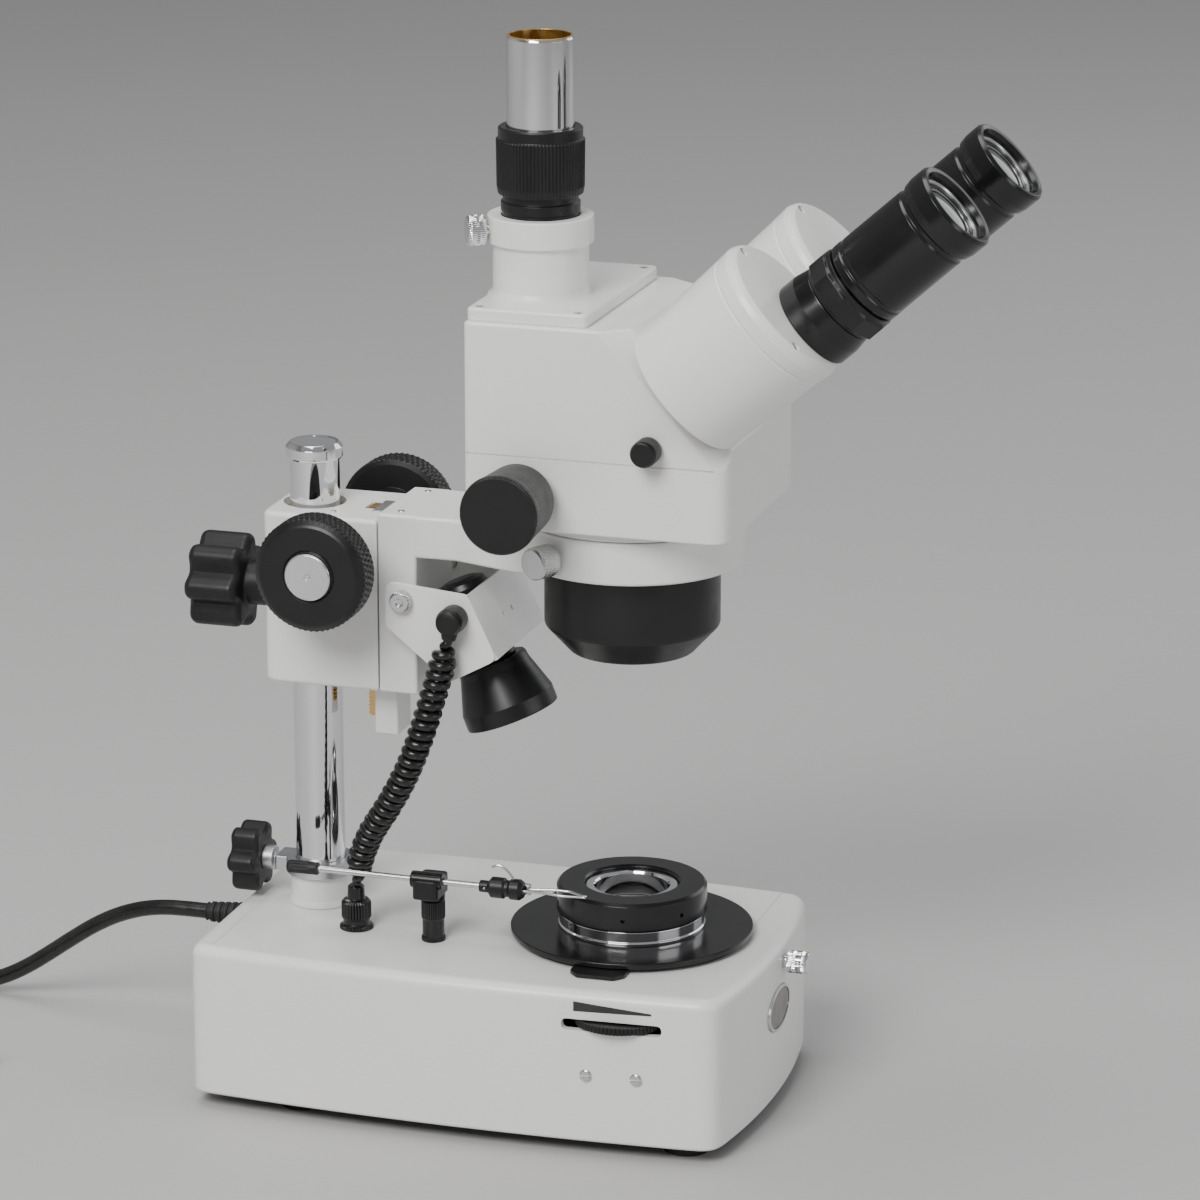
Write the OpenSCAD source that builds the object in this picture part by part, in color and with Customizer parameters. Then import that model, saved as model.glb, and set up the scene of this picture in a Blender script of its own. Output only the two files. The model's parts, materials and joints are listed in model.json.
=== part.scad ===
// Trinocular stereo zoom microscope on a lit darkfield base, with a gem clamp.
// Millimetres, +Z up, the user sits at -Y. The origin is on the table, under the middle of the
// instrument; the optical axis stands axis_y in front of it.

/* [Base] */
// Length of the base from its flat back to its front corners
base_len = 218; // [200:1:240]
// Width of the base at its corners
base_w = 134; // [126:1:144]
// Height of the base's top above the table
base_top = 68; // [64:0.5:76]
// How far the long sides bow out
side_bow = 5; // [2:0.5:8]
// How far the front bows out
front_bow = 7; // [3:0.5:10]
// Wall of the base housing
wall = 3; // [2:0.5:4]
// Height of the rubber feet
foot_h = 6; // [5:0.5:8]

/* [Stage] */
// Radius of the black stage disc
stage_r = 48.5; // [46:0.5:52]
// Radius of the raised stage cap
cap_r = 30; // [28:0.5:33]
// Radius of the opening that the light comes through
stage_bore_r = 16; // [14:0.5:18]

/* [Pillar] */
// Radius of the chrome pillar
pillar_r = 10; // [9:0.5:11]
// Distance from the optical axis to the pillar
throw = 132; // [128:1:138]
// Height of the pillar's top under its cap
pillar_top = 254; // [250:1:270]

/* [Focus] */
// Half the width of the focus block and carriage
block_hw = 22; // [20:0.5:24]
// Lowest point of the focus block
block_z0 = 166; // [160:1:172]
// Top of the focus block
block_z1 = 236; // [232:1:238]
// Radius of the knurled focus knobs
focus_knob_r = 23; // [20:0.5:25]

/* [Head] */
// Inner radius of the ring that holds the head
ring_bore_r = 38; // [37:0.25:39]
// Outer radius of that ring
ring_r = 44; // [43:0.5:47]
// Half the width of the head's body
head_hw = 50; // [48:0.5:52]
// Angle of the eyepieces above the horizontal
incline = 42; // [40:1:45]
// Distance from the middle to each prism housing's axis
prism_x = 41; // [39:0.5:43]
// Distance from that axis to the eyepiece's axis
prism_offset = 13; // [12:0.5:13.5]
// How far the right eyepiece is screwed out
right_out = 5.5; // [3:0.5:6]
// Outer radius of the camera tube
camera_r = 13; // [12.5:0.25:13.5]
// Inner radius of the camera tube
camera_bore_r = 11.6; // [11.5:0.1:12]

/* [Lamp] */
// Angle of the lamp from the vertical
lamp_tilt = 22; // [18:1:26]

/* [Cords] */
// Diameter of the mains cord
mains_d = 6.5; // [6:0.5:7]
// Outer diameter of the curly lamp cord
curly_d = 11.5; // [11:0.5:12]

/* [Hidden] */
$fn = 64;
axis_y = -15;
gap = 0.3;
fit = 0.05;
eps = 0.01;

// Base
base_hw = base_w / 2;
base_front = -54;
base_back = base_front + base_len;
side_mid = (base_front + base_back) / 2;
side_r = (pow(base_len / 2, 2) + pow(side_bow, 2)) / (2 * side_bow);
front_r = (pow(base_hw, 2) + pow(front_bow, 2)) / (2 * front_bow);
roof = base_top - wall;
feet = [[-50, -38], [50, -38], [-50, 122], [50, 122]];
side_screws = [[-3, 34], [-23, 34]];
dimmer = [-56, -13, 54.5];
dimmer_r = 19;
pull = [8, 60];
pull_r = 2.5;
switch_at = [-36, 40];
gland_at = [20, 50];
socket_at = [-27, 107];

// Stage, from the base's top upwards
lever_z = base_top + gap;
lever_t = 1.5;
disc_z = lever_z + lever_t + gap;
disc_top = disc_z + 2.1;
band_top = disc_top + 6;
cap_top = band_top + 12;

// Foot of the pillar
collar_z = 81;
collar_h = 6;
foot_knob_y = throw + 24;

// Gem clamp
post = [-31, 73];
gem_x = -37.5;
gem_z = 95;
jaw_x = 1.6;

// Focus block, carriage and rack
block_y0 = 98;
block_y1 = 147;
tongue_hw = 8;
tongue_y = 105;
rack_y = 109;
pinion_y = 114.3;
pinion_z = 221;
pinion_r = 4.8;
knob_x = 42;
knob_t = 15.5;
bush_r = 12.5;
clamp_z = 200;
carriage_y = 82;
ring_z0 = 224;
ring_z1 = 241;
arm_z0 = 222;

// Lamp
lamp_pivot = [85, 207];
lamp_neck = [57, 173];
plate_x = 28;
plate_t = 2;

// Head
head_z0 = 245;
head_z1 = 325;
head_back = 52.5;
head_front = -52;
chamfer = 5;
slope_y = -4;
slope_rise = 8;
lid_z1 = 330;
port = [-13, 33];
port_r = 18.5;
port_z1 = 361;
port_bore_r = 15;
zoom = [28, 259];
path = [-22, 281];
lock_z = 232;
lock_dir = 154;
port_lock_dir = 120;
prism_len = 54;
face_y = slope_y - 34.1 * sin(incline) - (slope_rise + prism_len) * cos(incline);
face_z = head_z1 - 3 - 34.1 * cos(incline) + (slope_rise + prism_len) * sin(incline);

// Mains cord: its route from the gland to the coil, and the coil
mains_route = [
    [20, 190, 50], [20, 200, 50], [20, 210, 49.5], [20.5, 220, 47.5], [21, 231, 43.5],
    [22, 242, 37.5], [23, 253, 30], [24, 264, 22], [25, 275, 14.5], [26, 286, 8.5],
    [27, 297, 4.8], [27, 309, 3.6], [27, 322, 3.4], [27, 336, 3.4], [27, 352, 3.4]
];
// Middle of the coil, the radius of its inner turn, and how many turns lie side by side
coil_at = [-17.5, 352];
coil_in_r = 31.5;
coil_rows = 3;
coil_layers = 2;
plug_at = [-62, 318];
// Curly cord: the line down its middle from the lamp to the base
curly_route = [
    [-36.3, 64, 194.6], [-36.5, 65.5, 188], [-37, 67.5, 180], [-38, 70, 171], [-38.5, 72.5, 162],
    [-38.5, 75.5, 153], [-38, 79, 144], [-37, 83, 135.5], [-35.5, 87.5, 127.5],
    [-34, 92.5, 119.5], [-32, 97.5, 112], [-30, 101.5, 104.5], [-28.5, 104.5, 96.5],
    [-27.2, 106.6, 87]
];

// ---- placing helpers

module at_axis() {
    translate([0, axis_y, 0]) children();
}

module at_pillar(z) {
    translate([0, axis_y + throw, z]) children();
}

// Puts +Z of its children along +Y, -Y, +X or -X
module to_back() { rotate([-90, 0, 0]) children(); }
module to_front() { rotate([90, 0, 0]) children(); }
module to_right() { rotate([0, 90, 0]) children(); }
module to_left() { rotate([0, -90, 0]) children(); }

module ring(r_out, r_in, h) {
    difference() {
        cylinder(r = r_out, h = h);
        translate([0, 0, -1]) cylinder(r = r_in, h = h + 2);
    }
}

module box(lo, hi) {
    translate(lo) cube([hi[0] - lo[0], hi[1] - lo[1], hi[2] - lo[2]]);
}

// Extrudes a side outline given as [y, z] across X from x0 to x1
module side(points, x0, x1) {
    translate([x0, 0, 0]) rotate([90, 0, 90]) linear_extrude(x1 - x0) polygon(points);
}

// A knob with lobes around its rim
module lobed(r, h, lobes, depth) {
    difference() {
        cylinder(r = r, h = h);
        for (i = [0 : lobes - 1])
            rotate([0, 0, 360 / lobes * (i + 0.5)])
                translate([r + depth, 0, -1]) cylinder(r = 2.4 * depth, h = h + 2);
    }
}

// Frame of the left (side = -1) or right (side = 1) prism housing: +Z along the eyepiece
module at_prism(s) {
    at_axis() translate([s * prism_x, face_y, face_z]) rotate([90 - incline, 0, 0]) children();
}

// Frame of an eyepiece on the front face of its prism housing
module at_eyepiece(s) {
    at_prism(s) translate([-s * 6, -sqrt(pow(prism_offset, 2) - 36), 0]) children();
}

// ---- tubes along a route

function sub(a, b) = a - b;
function unit(v) = v / norm(v);
function tangent(p, i) = unit(p[min(i + 1, len(p) - 1)] - p[max(i - 1, 0)]);
function side_of(t) = unit(cross(t, [1, 0.02, 0.01]));
function tube_ring(p, i, r, n) =
    let (t = tangent(p, i), u = side_of(t), v = cross(t, u))
    [for (k = [0 : n - 1]) p[i] + r * (cos(360 * k / n) * u + sin(360 * k / n) * v)];

module tube(p, r, n) {
    m = len(p);
    points = [for (i = [0 : m - 1]) each tube_ring(p, i, r, n)];
    sides = [for (i = [0 : m - 2]) for (k = [0 : n - 1])
        [i * n + k, i * n + (k + 1) % n, (i + 1) * n + (k + 1) % n, (i + 1) * n + k]];
    ends = [[for (k = [n - 1 : -1 : 0]) k], [for (k = [0 : n - 1]) (m - 1) * n + k]];
    polyhedron(points, concat(sides, ends));
}

// ---- base

module base_outline(inset) {
    intersection() {
        translate([side_r - base_hw - side_bow, side_mid]) circle(r = side_r - inset, $fn = 360);
        translate([-side_r + base_hw + side_bow, side_mid]) circle(r = side_r - inset, $fn = 360);
        translate([0, base_front - front_bow + front_r]) circle(r = front_r - inset, $fn = 360);
        translate([-100, base_front - 20]) square([200, base_len + 20 - inset]);
    }
}

module base_housing() {
    color("whitesmoke") at_axis() {
        difference() {
            translate([0, 0, foot_h]) linear_extrude(base_top - foot_h) base_outline(0);
            translate([0, 0, foot_h - 1]) linear_extrude(roof - foot_h + 1) base_outline(wall);
            // light opening, pillar bolt, gem post and lamp socket
            translate([0, 0, roof - 1]) cylinder(r = 34, h = wall + 2);
            translate([0, throw, roof - 1]) cylinder(r = 4.2, h = wall + 2);
            translate([post[0], post[1], roof - 1]) cylinder(r = 2.6, h = wall + 2);
            translate([socket_at[0], socket_at[1], roof - 1]) cylinder(r = 4, h = wall + 2);
            // dimmer slot and the two side screws
            box([-90, dimmer[1] - 20, dimmer[2] - 2.2], [-60, dimmer[1] + 20, dimmer[2] + 2.2]);
            for (s = side_screws)
                translate([-90, s[0], s[1]]) to_right() cylinder(r = 1.6, h = 30);
            // pull rod, cord gland and switch
            translate([pull[0], -80, pull[1]]) to_back() cylinder(r = pull_r + fit, h = 40);
            translate([gland_at[0], 150, gland_at[1]]) to_back() cylinder(r = 5, h = 40);
            box([switch_at[0] - 10, 150, switch_at[1] - 7], [switch_at[0] + 10, 180, switch_at[1] + 7]);
            badge_oval(2);
        }
        for (f = feet)
            translate([f[0], f[1], 9]) ring(4.5, 2.05, roof - 9 + eps);
    }
}

module base_plate() {
    color("dimgray") at_axis() difference() {
        translate([0, 0, foot_h]) linear_extrude(2) base_outline(wall + gap);
        for (f = feet)
            translate([f[0], f[1], 0]) cylinder(r = 2.05, h = 20);
        for (i = [-3 : 3])
            box([i * 9 - 2, 10, 0], [i * 9 + 2, 40, 20]);
    }
}

module rubber_feet() {
    color([0.1, 0.1, 0.1]) at_axis() for (f = feet)
        translate([f[0], f[1], 0]) difference() {
            cylinder(r1 = 9.5, r2 = 10.5, h = foot_h);
            translate([0, 0, -1]) cylinder(r = 4.5, h = 4);
            cylinder(r = 2.05, h = 20);
        }
}

module base_screws() {
    color("silver") at_axis() {
        for (f = feet)
            translate([f[0], f[1], 1]) {
                translate([0, 0, 0]) cylinder(r = 4, h = 2);
                cylinder(r = 2, h = 18);
            }
        for (s = side_screws)
            translate([-base_hw - side_bow + 0.4, s[0], s[1]]) {
                to_left() cylinder(r = 2.5, h = 1.6);
                to_right() cylinder(r = 1.5, h = 9);
            }
    }
}

module badge_oval(h) {
    translate([0, base_front - front_bow - 0.9, 43]) to_back() intersection() {
        translate([0, -8, 0]) cylinder(r = 17, h = h);
        translate([0, 8, 0]) cylinder(r = 17, h = h);
    }
}

module badge() {
    color([0.2, 0.18, 0.17]) at_axis() badge_oval(2);
}

module transformer() {
    color([0.3, 0.28, 0.25]) at_axis() {
        box([2, 50, 12], [42, 90, 44]);
        box([8, 44, 16], [36, 50, 40]);
        box([8, 90, 16], [36, 96, 40]);
        // board under the transformer, the dimmer's potentiometer and the switch's body
        box([-42, 46, 8], [46, 100, 12]);
        translate([dimmer[0], dimmer[1], 38]) cylinder(r = 8, h = 12);
        translate([dimmer[0], dimmer[1], 8]) cylinder(r = 3, h = 30);
    }
}

module base_lamp() {
    color([0.85, 0.8, 0.6]) at_axis() {
        translate([0, 0, 8]) cylinder(r = 9, h = 12);
        translate([0, 0, 20]) cylinder(r = 4, h = 10);
        translate([0, 0, 32]) sphere(r = 6);
    }
}

module reflector_dish() {
    color("silver") at_axis() rotate_extrude() polygon([
        [10, 24], [14, 30], [22, 42], [32, 62], [36, 62], [36, 64.7], [31, 64.7], [20.5, 43],
        [12.5, 31], [9, 24]
    ]);
}

module iris_lever() {
    color([0.08, 0.08, 0.08]) at_axis() translate([0, 0, lever_z]) difference() {
        union() {
            cylinder(r = 46, h = lever_t);
            rotate([0, 0, 182]) intersection() {
                translate([0, -11, 0]) cube([56, 22, lever_t]);
                translate([45, 0, 0]) cylinder(r = 13, h = lever_t);
            }
        }
        translate([0, 0, -1]) cylinder(r = 34.5, h = lever_t + 2);
    }
}

module stage_plate() {
    color([0.05, 0.05, 0.05]) at_axis() {
        translate([0, 0, disc_z]) ring(stage_r, 24, disc_top - disc_z);
        translate([0, 0, base_top - 3]) ring(33.7, 30, disc_z - base_top + 3 + eps);
    }
}

module stage_band() {
    color("silver") at_axis() {
        translate([0, 0, disc_top]) ring(cap_r - 0.6, 20, band_top - disc_top);
        translate([0, 0, disc_top + 3]) ring(20 + eps, stage_bore_r + 1, 3);
    }
}

module stage_cap() {
    color([0.06, 0.06, 0.06]) at_axis() translate([0, 0, band_top]) difference() {
        cylinder(r = cap_r, h = cap_top - band_top);
        translate([0, 0, -1]) cylinder(r = stage_bore_r, h = 20);
        translate([0, 0, cap_top - band_top - 2]) cylinder(r = 20, h = 4);
    }
}

module switch_rocker() {
    color([0.1, 0.1, 0.1]) at_axis() translate([switch_at[0], base_back, switch_at[1]]) {
        box([-9, -2.2, -6], [9, 1.2, 6]);
        translate([-9, -2.2, 0]) to_right() cylinder(r = 3, h = 18);
    }
}

module dimmer_wheel() {
    color([0.07, 0.07, 0.07]) at_axis() translate([dimmer[0], dimmer[1], dimmer[2] - 1.5]) {
        difference() {
            cylinder(r = dimmer_r, h = 3);
            translate([0, 0, -1]) cylinder(r = 2, h = 5);
        }
        translate([0, 0, -2.5]) cylinder(r = 2.5, h = 2.5 + eps);
    }
}

module pull_rod() {
    color("silver") at_axis() translate([pull[0], -62.3, pull[1]]) {
        to_back() cylinder(r = pull_r, h = 24);
        to_front() cylinder(r = 4.6, h = 9);
        // shutter for the darkfield stop, carried on the rod's inner end
        box([-18, 23, -3], [18, 27, -1.5]);
        box([-2, 20, -3], [2, 24, 0]);
    }
}

// ---- pillar and its foot

module foot_boss() {
    color("whitesmoke") at_pillar(base_top) difference() {
        union() {
            cylinder(r1 = 13.5, r2 = 12.2, h = 3);
            cylinder(r = 12.2, h = collar_z - base_top);
        }
        translate([0, 0, 1]) cylinder(r = pillar_r + fit, h = 30);
        translate([0, 0, -1]) cylinder(r = 4.2, h = 10);
    }
}

module foot_collar() {
    color("silver") at_pillar(collar_z) difference() {
        union() {
            cylinder(r = 14.2, h = collar_h);
            box([-6, 8, 0], [6, 18, collar_h]);
        }
        translate([0, 0, -1]) cylinder(r = pillar_r + fit, h = 20);
        translate([0, 5, collar_h / 2]) to_back() cylinder(r = 2.5 + fit, h = 20);
    }
}

module pillar() {
    color([0.8, 0.8, 0.82]) at_pillar(base_top + 1.2)
        ring(pillar_r, 7, pillar_top - base_top - 1.2);
}

module pillar_cap() {
    color([0.75, 0.75, 0.78]) at_pillar(pillar_top) {
        cylinder(r = 11.4, h = 5);
        translate([0, 0, 5]) cylinder(r1 = 11.4, r2 = 10.2, h = 1.6);
        translate([0, 0, -8]) cylinder(r = 7 - fit, h = 8 + eps);
    }
}

module foot_clamp_knob() {
    color([0.08, 0.08, 0.08]) at_axis() translate([0, foot_knob_y, collar_z + collar_h / 2]) {
        to_back() lobed(14.4, 12, 6, 3);
        to_front() cylinder(r = 5, h = 4.5);
        to_front() cylinder(r = 2.5, h = 13);
    }
}

// ---- gem clamp

module gem_post() {
    color([0.07, 0.07, 0.07]) at_axis() translate([post[0], post[1], 0]) {
        translate([0, 0, base_top]) cylinder(r = 4.8, h = 17);
        translate([0, 0, base_top - 8]) cylinder(r = 2.5, h = 9);
        translate([0, 0, base_top + 16]) cylinder(r = 2, h = 13);
        translate([0, 0, roof - 4]) cylinder(r = 4.5, h = 4);
    }
}

module gem_head() {
    color([0.1, 0.1, 0.1]) at_axis() translate([post[0], post[1], base_top + 17 + gap]) difference() {
        box([-11, -6.5, 0], [4.5, 6.5, 12]);
        translate([0, 0, -1]) cylinder(r = 2 + fit, h = 14);
        translate([gem_x - post[0], -10, gem_z - base_top - 17 - gap]) to_back() cylinder(r = 1.2 + fit, h = 20);
    }
}

module gem_rod() {
    color("silver") at_axis() translate([gem_x, 0, gem_z]) {
        translate([0, 51, 0]) to_back() cylinder(r = 1.2, h = 80);
        translate([0, 119, 0]) to_back() cylinder(r = 2.6, h = 13);
        translate([0, 51 + eps, 0]) to_front() cylinder(r = 2.4, h = 4);
        translate([0, 47 + eps, 0]) to_front() cylinder(r = 4.2, h = 14);
        // the fixed jaw, and the fork and pin that the other jaw turns on
        translate([-1.4, 33 + eps, 0]) rotate([90, 0, -1.2]) cylinder(r = 0.6, h = 26);
        for (z = [-2.1, 1.3])
            translate([jaw_x, 31.6, z]) {
                cylinder(r = 1.1, h = 0.8);
                translate([-1.1, 0, 0]) cube([2.2, 1.4 + eps, 0.8]);
            }
        translate([jaw_x, 31.6, -2]) cylinder(r = 0.5, h = 4);
    }
}

module gem_jaw() {
    color("silver") at_axis() translate([gem_x, 0, gem_z]) {
        translate([jaw_x, 31.6, -1]) ring(1.1, 0.5 + fit, 2);
        translate([jaw_x, 30.8, 0]) rotate([90, 0, 1.2]) cylinder(r = 0.6, h = 23.6);
    }
}

module pillar_bush() {
    color([0.75, 0.62, 0.35]) at_pillar(block_z0 + 3)
        ring(bush_r, pillar_r + fit, block_z1 - block_z0 - 6);
}

// ---- focus block

module focus_block() {
    color("whitesmoke") at_axis() difference() {
        union() {
            box([-block_hw, block_y0 + gap, block_z0], [block_hw, block_y1 - 6, block_z1]);
            box([-block_hw + 6, block_y1 - 7, block_z0], [block_hw - 6, block_y1, block_z1]);
            for (s = [-1, 1])
                translate([s * (block_hw - 6), block_y1 - 6, block_z0])
                    cylinder(r = 6, h = block_z1 - block_z0);
            for (s = [-1, 1])
                translate([s * (block_hw - eps), pinion_y, pinion_z])
                    rotate([0, 90 * s, 0]) cylinder(r = 9, h = 5);
        }
        translate([0, throw, 0]) cylinder(r = bush_r + fit, h = 400);
        // groove of the slide, the rack's channel and the pinion's bore
        box([-tongue_hw - gap, block_y0 - 5, 0], [tongue_hw + gap, tongue_y + gap, 400]);
        box([-5, block_y0, 0], [5, rack_y + gap, 400]);
        translate([-6, pinion_y, pinion_z]) to_right() cylinder(r = pinion_r + gap, h = 12);
        translate([-60, pinion_y, pinion_z]) to_right() cylinder(r = 4 + fit, h = 120);
        translate([0, block_y1 - 14, clamp_z]) to_back() cylinder(r = 4 + fit, h = 30);
    }
}

module clamp_knob() {
    color([0.07, 0.07, 0.07]) at_axis() translate([0, block_y1, clamp_z]) {
        translate([0, 13, 0]) to_back() lobed(19.5, 22, 7, 3);
        translate([0, gap, 0]) to_back() cylinder(r = 9, h = 13);
        translate([0, 1, 0]) to_front() cylinder(r = 4, h = 2);
    }
}

module pinion_shaft() {
    color("silver") at_axis() translate([0, pinion_y, pinion_z]) {
        translate([-knob_x - 10, 0, 0]) to_right() cylinder(r = 4, h = 2 * knob_x + 20);
        translate([-5.5, 0, 0]) to_right() cylinder(r = pinion_r, h = 11);
    }
}

module focus_knobs() {
    color([0.08, 0.08, 0.08]) at_axis() for (s = [-1, 1])
        translate([s * knob_x, pinion_y, pinion_z]) rotate([0, 90 * s, 0]) {
            ring(focus_knob_r, 4, knob_t - 3);
            translate([0, 0, knob_t - 3 - eps]) ring(20.5, 4, 2);
            translate([0, 0, knob_t - 5]) cylinder(r = 9.5, h = 7);
            translate([0, 0, -12]) ring(11, 4, 12 + eps);
        }
}

module carriage_arm() {
    color("whitesmoke") at_axis() difference() {
        union() {
            box([-block_hw, carriage_y, block_z0], [block_hw, block_y0, block_z1]);
            box([-tongue_hw, 90, 144], [tongue_hw, tongue_y, block_z1]);
            // bridge from the slide to the ring, wider where it meets the ring
            translate([0, 0, arm_z0]) linear_extrude(ring_z1 - 2 - arm_z0)
                polygon([[-block_hw, 98], [-block_hw, 66], [-33, 30], [33, 30], [block_hw, 66], [block_hw, 98]]);
            translate([0, 0, ring_z0]) cylinder(r = ring_r, h = ring_z1 - ring_z0);
        }
        translate([0, 0, 0]) cylinder(r = ring_bore_r, h = 400);
        for (s = [-1, 1])
            translate([s * (block_hw - 10), lamp_pivot[0], lamp_pivot[1]])
                rotate([0, 90 * s, 0]) cylinder(r = 2.5 + fit, h = 20);
        translate([0, 0, lock_z]) rotate([0, 0, lock_dir]) translate([30, 0, 0])
            to_right() cylinder(r = 2.5 + fit, h = 30);
    }
}

module rack() {
    color([0.78, 0.6, 0.25]) at_axis() box([-4, tongue_y, 150], [4, rack_y, block_z1]);
}

module head_lock_screw() {
    color("silver") at_axis() translate([0, 0, lock_z]) rotate([0, 0, lock_dir]) {
        translate([ring_r + 2.5, 0, 0]) to_right() cylinder(r = 6.5, h = 10);
        translate([ring_bore_r + 0.3, 0, 0]) to_right() cylinder(r = 2.5, h = 10);
    }
}

// ---- oblique lamp

// Frame of the lamp: +Z up its tilted axis
module at_lamp() {
    at_axis() translate([0, lamp_neck[0], lamp_neck[1]]) rotate([-lamp_tilt, 0, 0]) children();
}

module lamp_bracket() {
    color("whitesmoke") {
        at_axis() difference() {
            for (s = [-1, 1])
                side([[92, 214], [58, 211], [46, 186], [66, 175], [92, 196]],
                    s == 1 ? plate_x : -plate_x - plate_t, s == 1 ? plate_x + plate_t : -plate_x);
            translate([-50, lamp_pivot[0], lamp_pivot[1]]) to_right() cylinder(r = 2.5, h = 100);
        }
        at_axis() side([[58, 211], [46, 186], [47.8, 185.1], [59.8, 210.1]], -plate_x - eps, plate_x + eps);
        at_axis() difference() {
            side([[46, 186], [66, 175], [67, 176.8], [47, 187.8]], -plate_x - eps, plate_x + eps);
            translate([0, lamp_neck[0], lamp_neck[1]]) rotate([-lamp_tilt, 0, 0])
                translate([0, 0, -30]) cylinder(r = 11.2, h = 60);
        }
        // boss that the curly cord plugs into
        at_axis() translate([-plate_x - plate_t + eps, 63, 202]) to_left() cylinder(r = 5.5, h = 11);
    }
}

module lamp_shroud() {
    color([0.06, 0.06, 0.06]) at_lamp() rotate_extrude() polygon([
        [7, 4], [14, 4], [14.5, 0], [19, -14], [19, -20], [17.5, -20], [17.3, -14], [12.5, 0], [7, 1.5]
    ]);
}

module lamp_bulb() {
    color([0.15, 0.15, 0.15]) at_lamp() {
        translate([0, 0, 4 - eps]) cylinder(r = 10.5, h = 30);
        translate([0, 0, -2]) cylinder(r = 6.5, h = 6 + eps);
        translate([0, 0, -3]) sphere(r = 6);
    }
}

module pivot_screws() {
    color("silver") at_axis() for (s = [-1, 1])
        translate([s * (plate_x + plate_t), lamp_pivot[0], lamp_pivot[1]]) rotate([0, 90 * s, 0]) {
            cylinder(r = 4.6, h = 4);
            translate([0, 0, -15]) cylinder(r = 2.5, h = 15 + eps);
        }
}

// ---- head

module head_outline(inset) {
    hw = head_hw - inset;
    front = head_front + inset;
    cut = chamfer - inset * (2 - sqrt(2));
    polygon([
        [-hw, head_back - inset], [hw, head_back - inset], [hw, front + cut],
        [hw - cut, front], [cut - hw, front], [-hw, front + cut]
    ]);
}

// Where the sloping face, rise above its side edges, crosses a height and a depth
function slope_at_z(z, rise) =
    slope_y - (rise - (z - head_z1 + 3) * sin(incline)) / cos(incline);
function slope_at_y(y, rise) =
    head_z1 - 3 + (rise + (y - slope_y) * cos(incline)) / sin(incline);

module head_solid(inset) {
    low = head_z0 + inset;
    top = head_z1 - inset;
    back = head_back - inset;
    front = head_front + inset;
    rise = slope_rise - inset;
    difference() {
        intersection() {
            translate([0, 0, 200]) linear_extrude(200) head_outline(inset);
            side([
                [back, low + 10], [back, top], [slope_at_z(top, rise), top],
                [front, slope_at_y(front, rise)], [front, low], [20, low]
            ], -80, 80);
        }
        // the sloping face is bevelled down to the sides
        for (s = [-1, 1])
            translate([0, slope_y, head_z1 - 3]) rotate([90 - incline, 0, 0])
                translate([s * (head_hw - inset * sqrt(2)), 0, 0]) rotate([0, s * 45, 0])
                    translate([-30, -100, 0]) cube([60, 150, 30]);
    }
}

module head_body() {
    color("whitesmoke") at_axis() difference() {
        union() {
            head_solid(0);
            translate([0, 0, ring_z0 - 1]) cylinder(r = ring_bore_r - fit, h = 20);
            translate([0, 0, ring_z1 + gap]) cylinder(r = ring_r, h = 6);
        }
        head_solid(2.5);
        translate([0, 0, ring_z0 - 5]) cylinder(r = 32, h = 30);
        translate([port[0], port[1], head_z1 - 10]) cylinder(r = 12, h = 20);
        translate([-90, zoom[0], zoom[1]]) to_right() cylinder(r = 4 + fit, h = 180);
        translate([-90, path[0], path[1]]) to_right() cylinder(r = 3 + fit, h = 60);
        for (s = [-1, 1])
            translate([s * prism_x, face_y, face_z]) rotate([90 - incline, 0, 0])
                translate([s * -8, 0, -prism_len - 10]) cylinder(r = 14, h = 20);
    }
}

module head_cover() {
    color("whitesmoke") at_axis() difference() {
        union() {
            box([-47, 4, head_z1], [47, head_back - 0.5, lid_z1]);
            translate([port[0], port[1], lid_z1 - eps]) cylinder(r = port_r, h = port_z1 - lid_z1);
            translate([port[0], port[1], port_z1 - 11]) cylinder(r = 20.5, h = 11);
        }
        translate([port[0], port[1], lid_z1]) cylinder(r = port_bore_r + fit, h = 60);
        translate([port[0], port[1], lid_z1 - 10]) cylinder(r = 12, h = 60);
        translate([port[0], port[1], port_z1 - 5.5]) rotate([0, 0, port_lock_dir])
            translate([12, 0, 0]) to_right() cylinder(r = 2 + fit, h = 20);
        for (x = [-42, 42], y = [8.5, 48])
            translate([x, y, lid_z1 - 1.5]) cylinder(r = 2, h = 4);
    }
}

module port_lock_screw() {
    color("silver") at_axis() translate([port[0], port[1], port_z1 - 5.5]) rotate([0, 0, port_lock_dir]) {
        translate([22, 0, 0]) to_right() cylinder(r = 6, h = 7);
        translate([port_bore_r + 0.6, 0, 0]) to_right() cylinder(r = 2, h = 7);
    }
}

module camera_ring() {
    color([0.07, 0.07, 0.07]) at_axis() translate([port[0], port[1], 0]) {
        translate([0, 0, port_z1 - 20]) ring(port_bore_r, camera_r + fit, 28 + eps);
        translate([0, 0, port_z1 + 8]) ring(17.2, camera_r + fit, 26);
    }
}

module camera_tube() {
    color([0.8, 0.8, 0.82]) at_axis() translate([port[0], port[1], 350]) difference() {
        cylinder(r = camera_r, h = 80);
        translate([0, 0, -1]) cylinder(r = 10, h = 90);
        translate([0, 0, 40]) cylinder(r = camera_bore_r, h = 50);
    }
}

module objective_shroud() {
    color([0.05, 0.05, 0.05]) at_axis() rotate_extrude() polygon([
        [22, 187], [25, 187], [34.6, 198], [34.6, 222.7], [31.7, 222.7], [31.7, 244],
        [28, 244], [28, 200], [22, 190]
    ]);
}

module objective_lens() {
    color([0.6, 0.75, 0.85]) at_axis() {
        translate([0, 0, 201]) cylinder(r = 27.9, h = 5);
        for (s = [-1, 1])
            translate([s * 12, 0, 206 - eps]) ring(11, 9, 38);
    }
}

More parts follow.
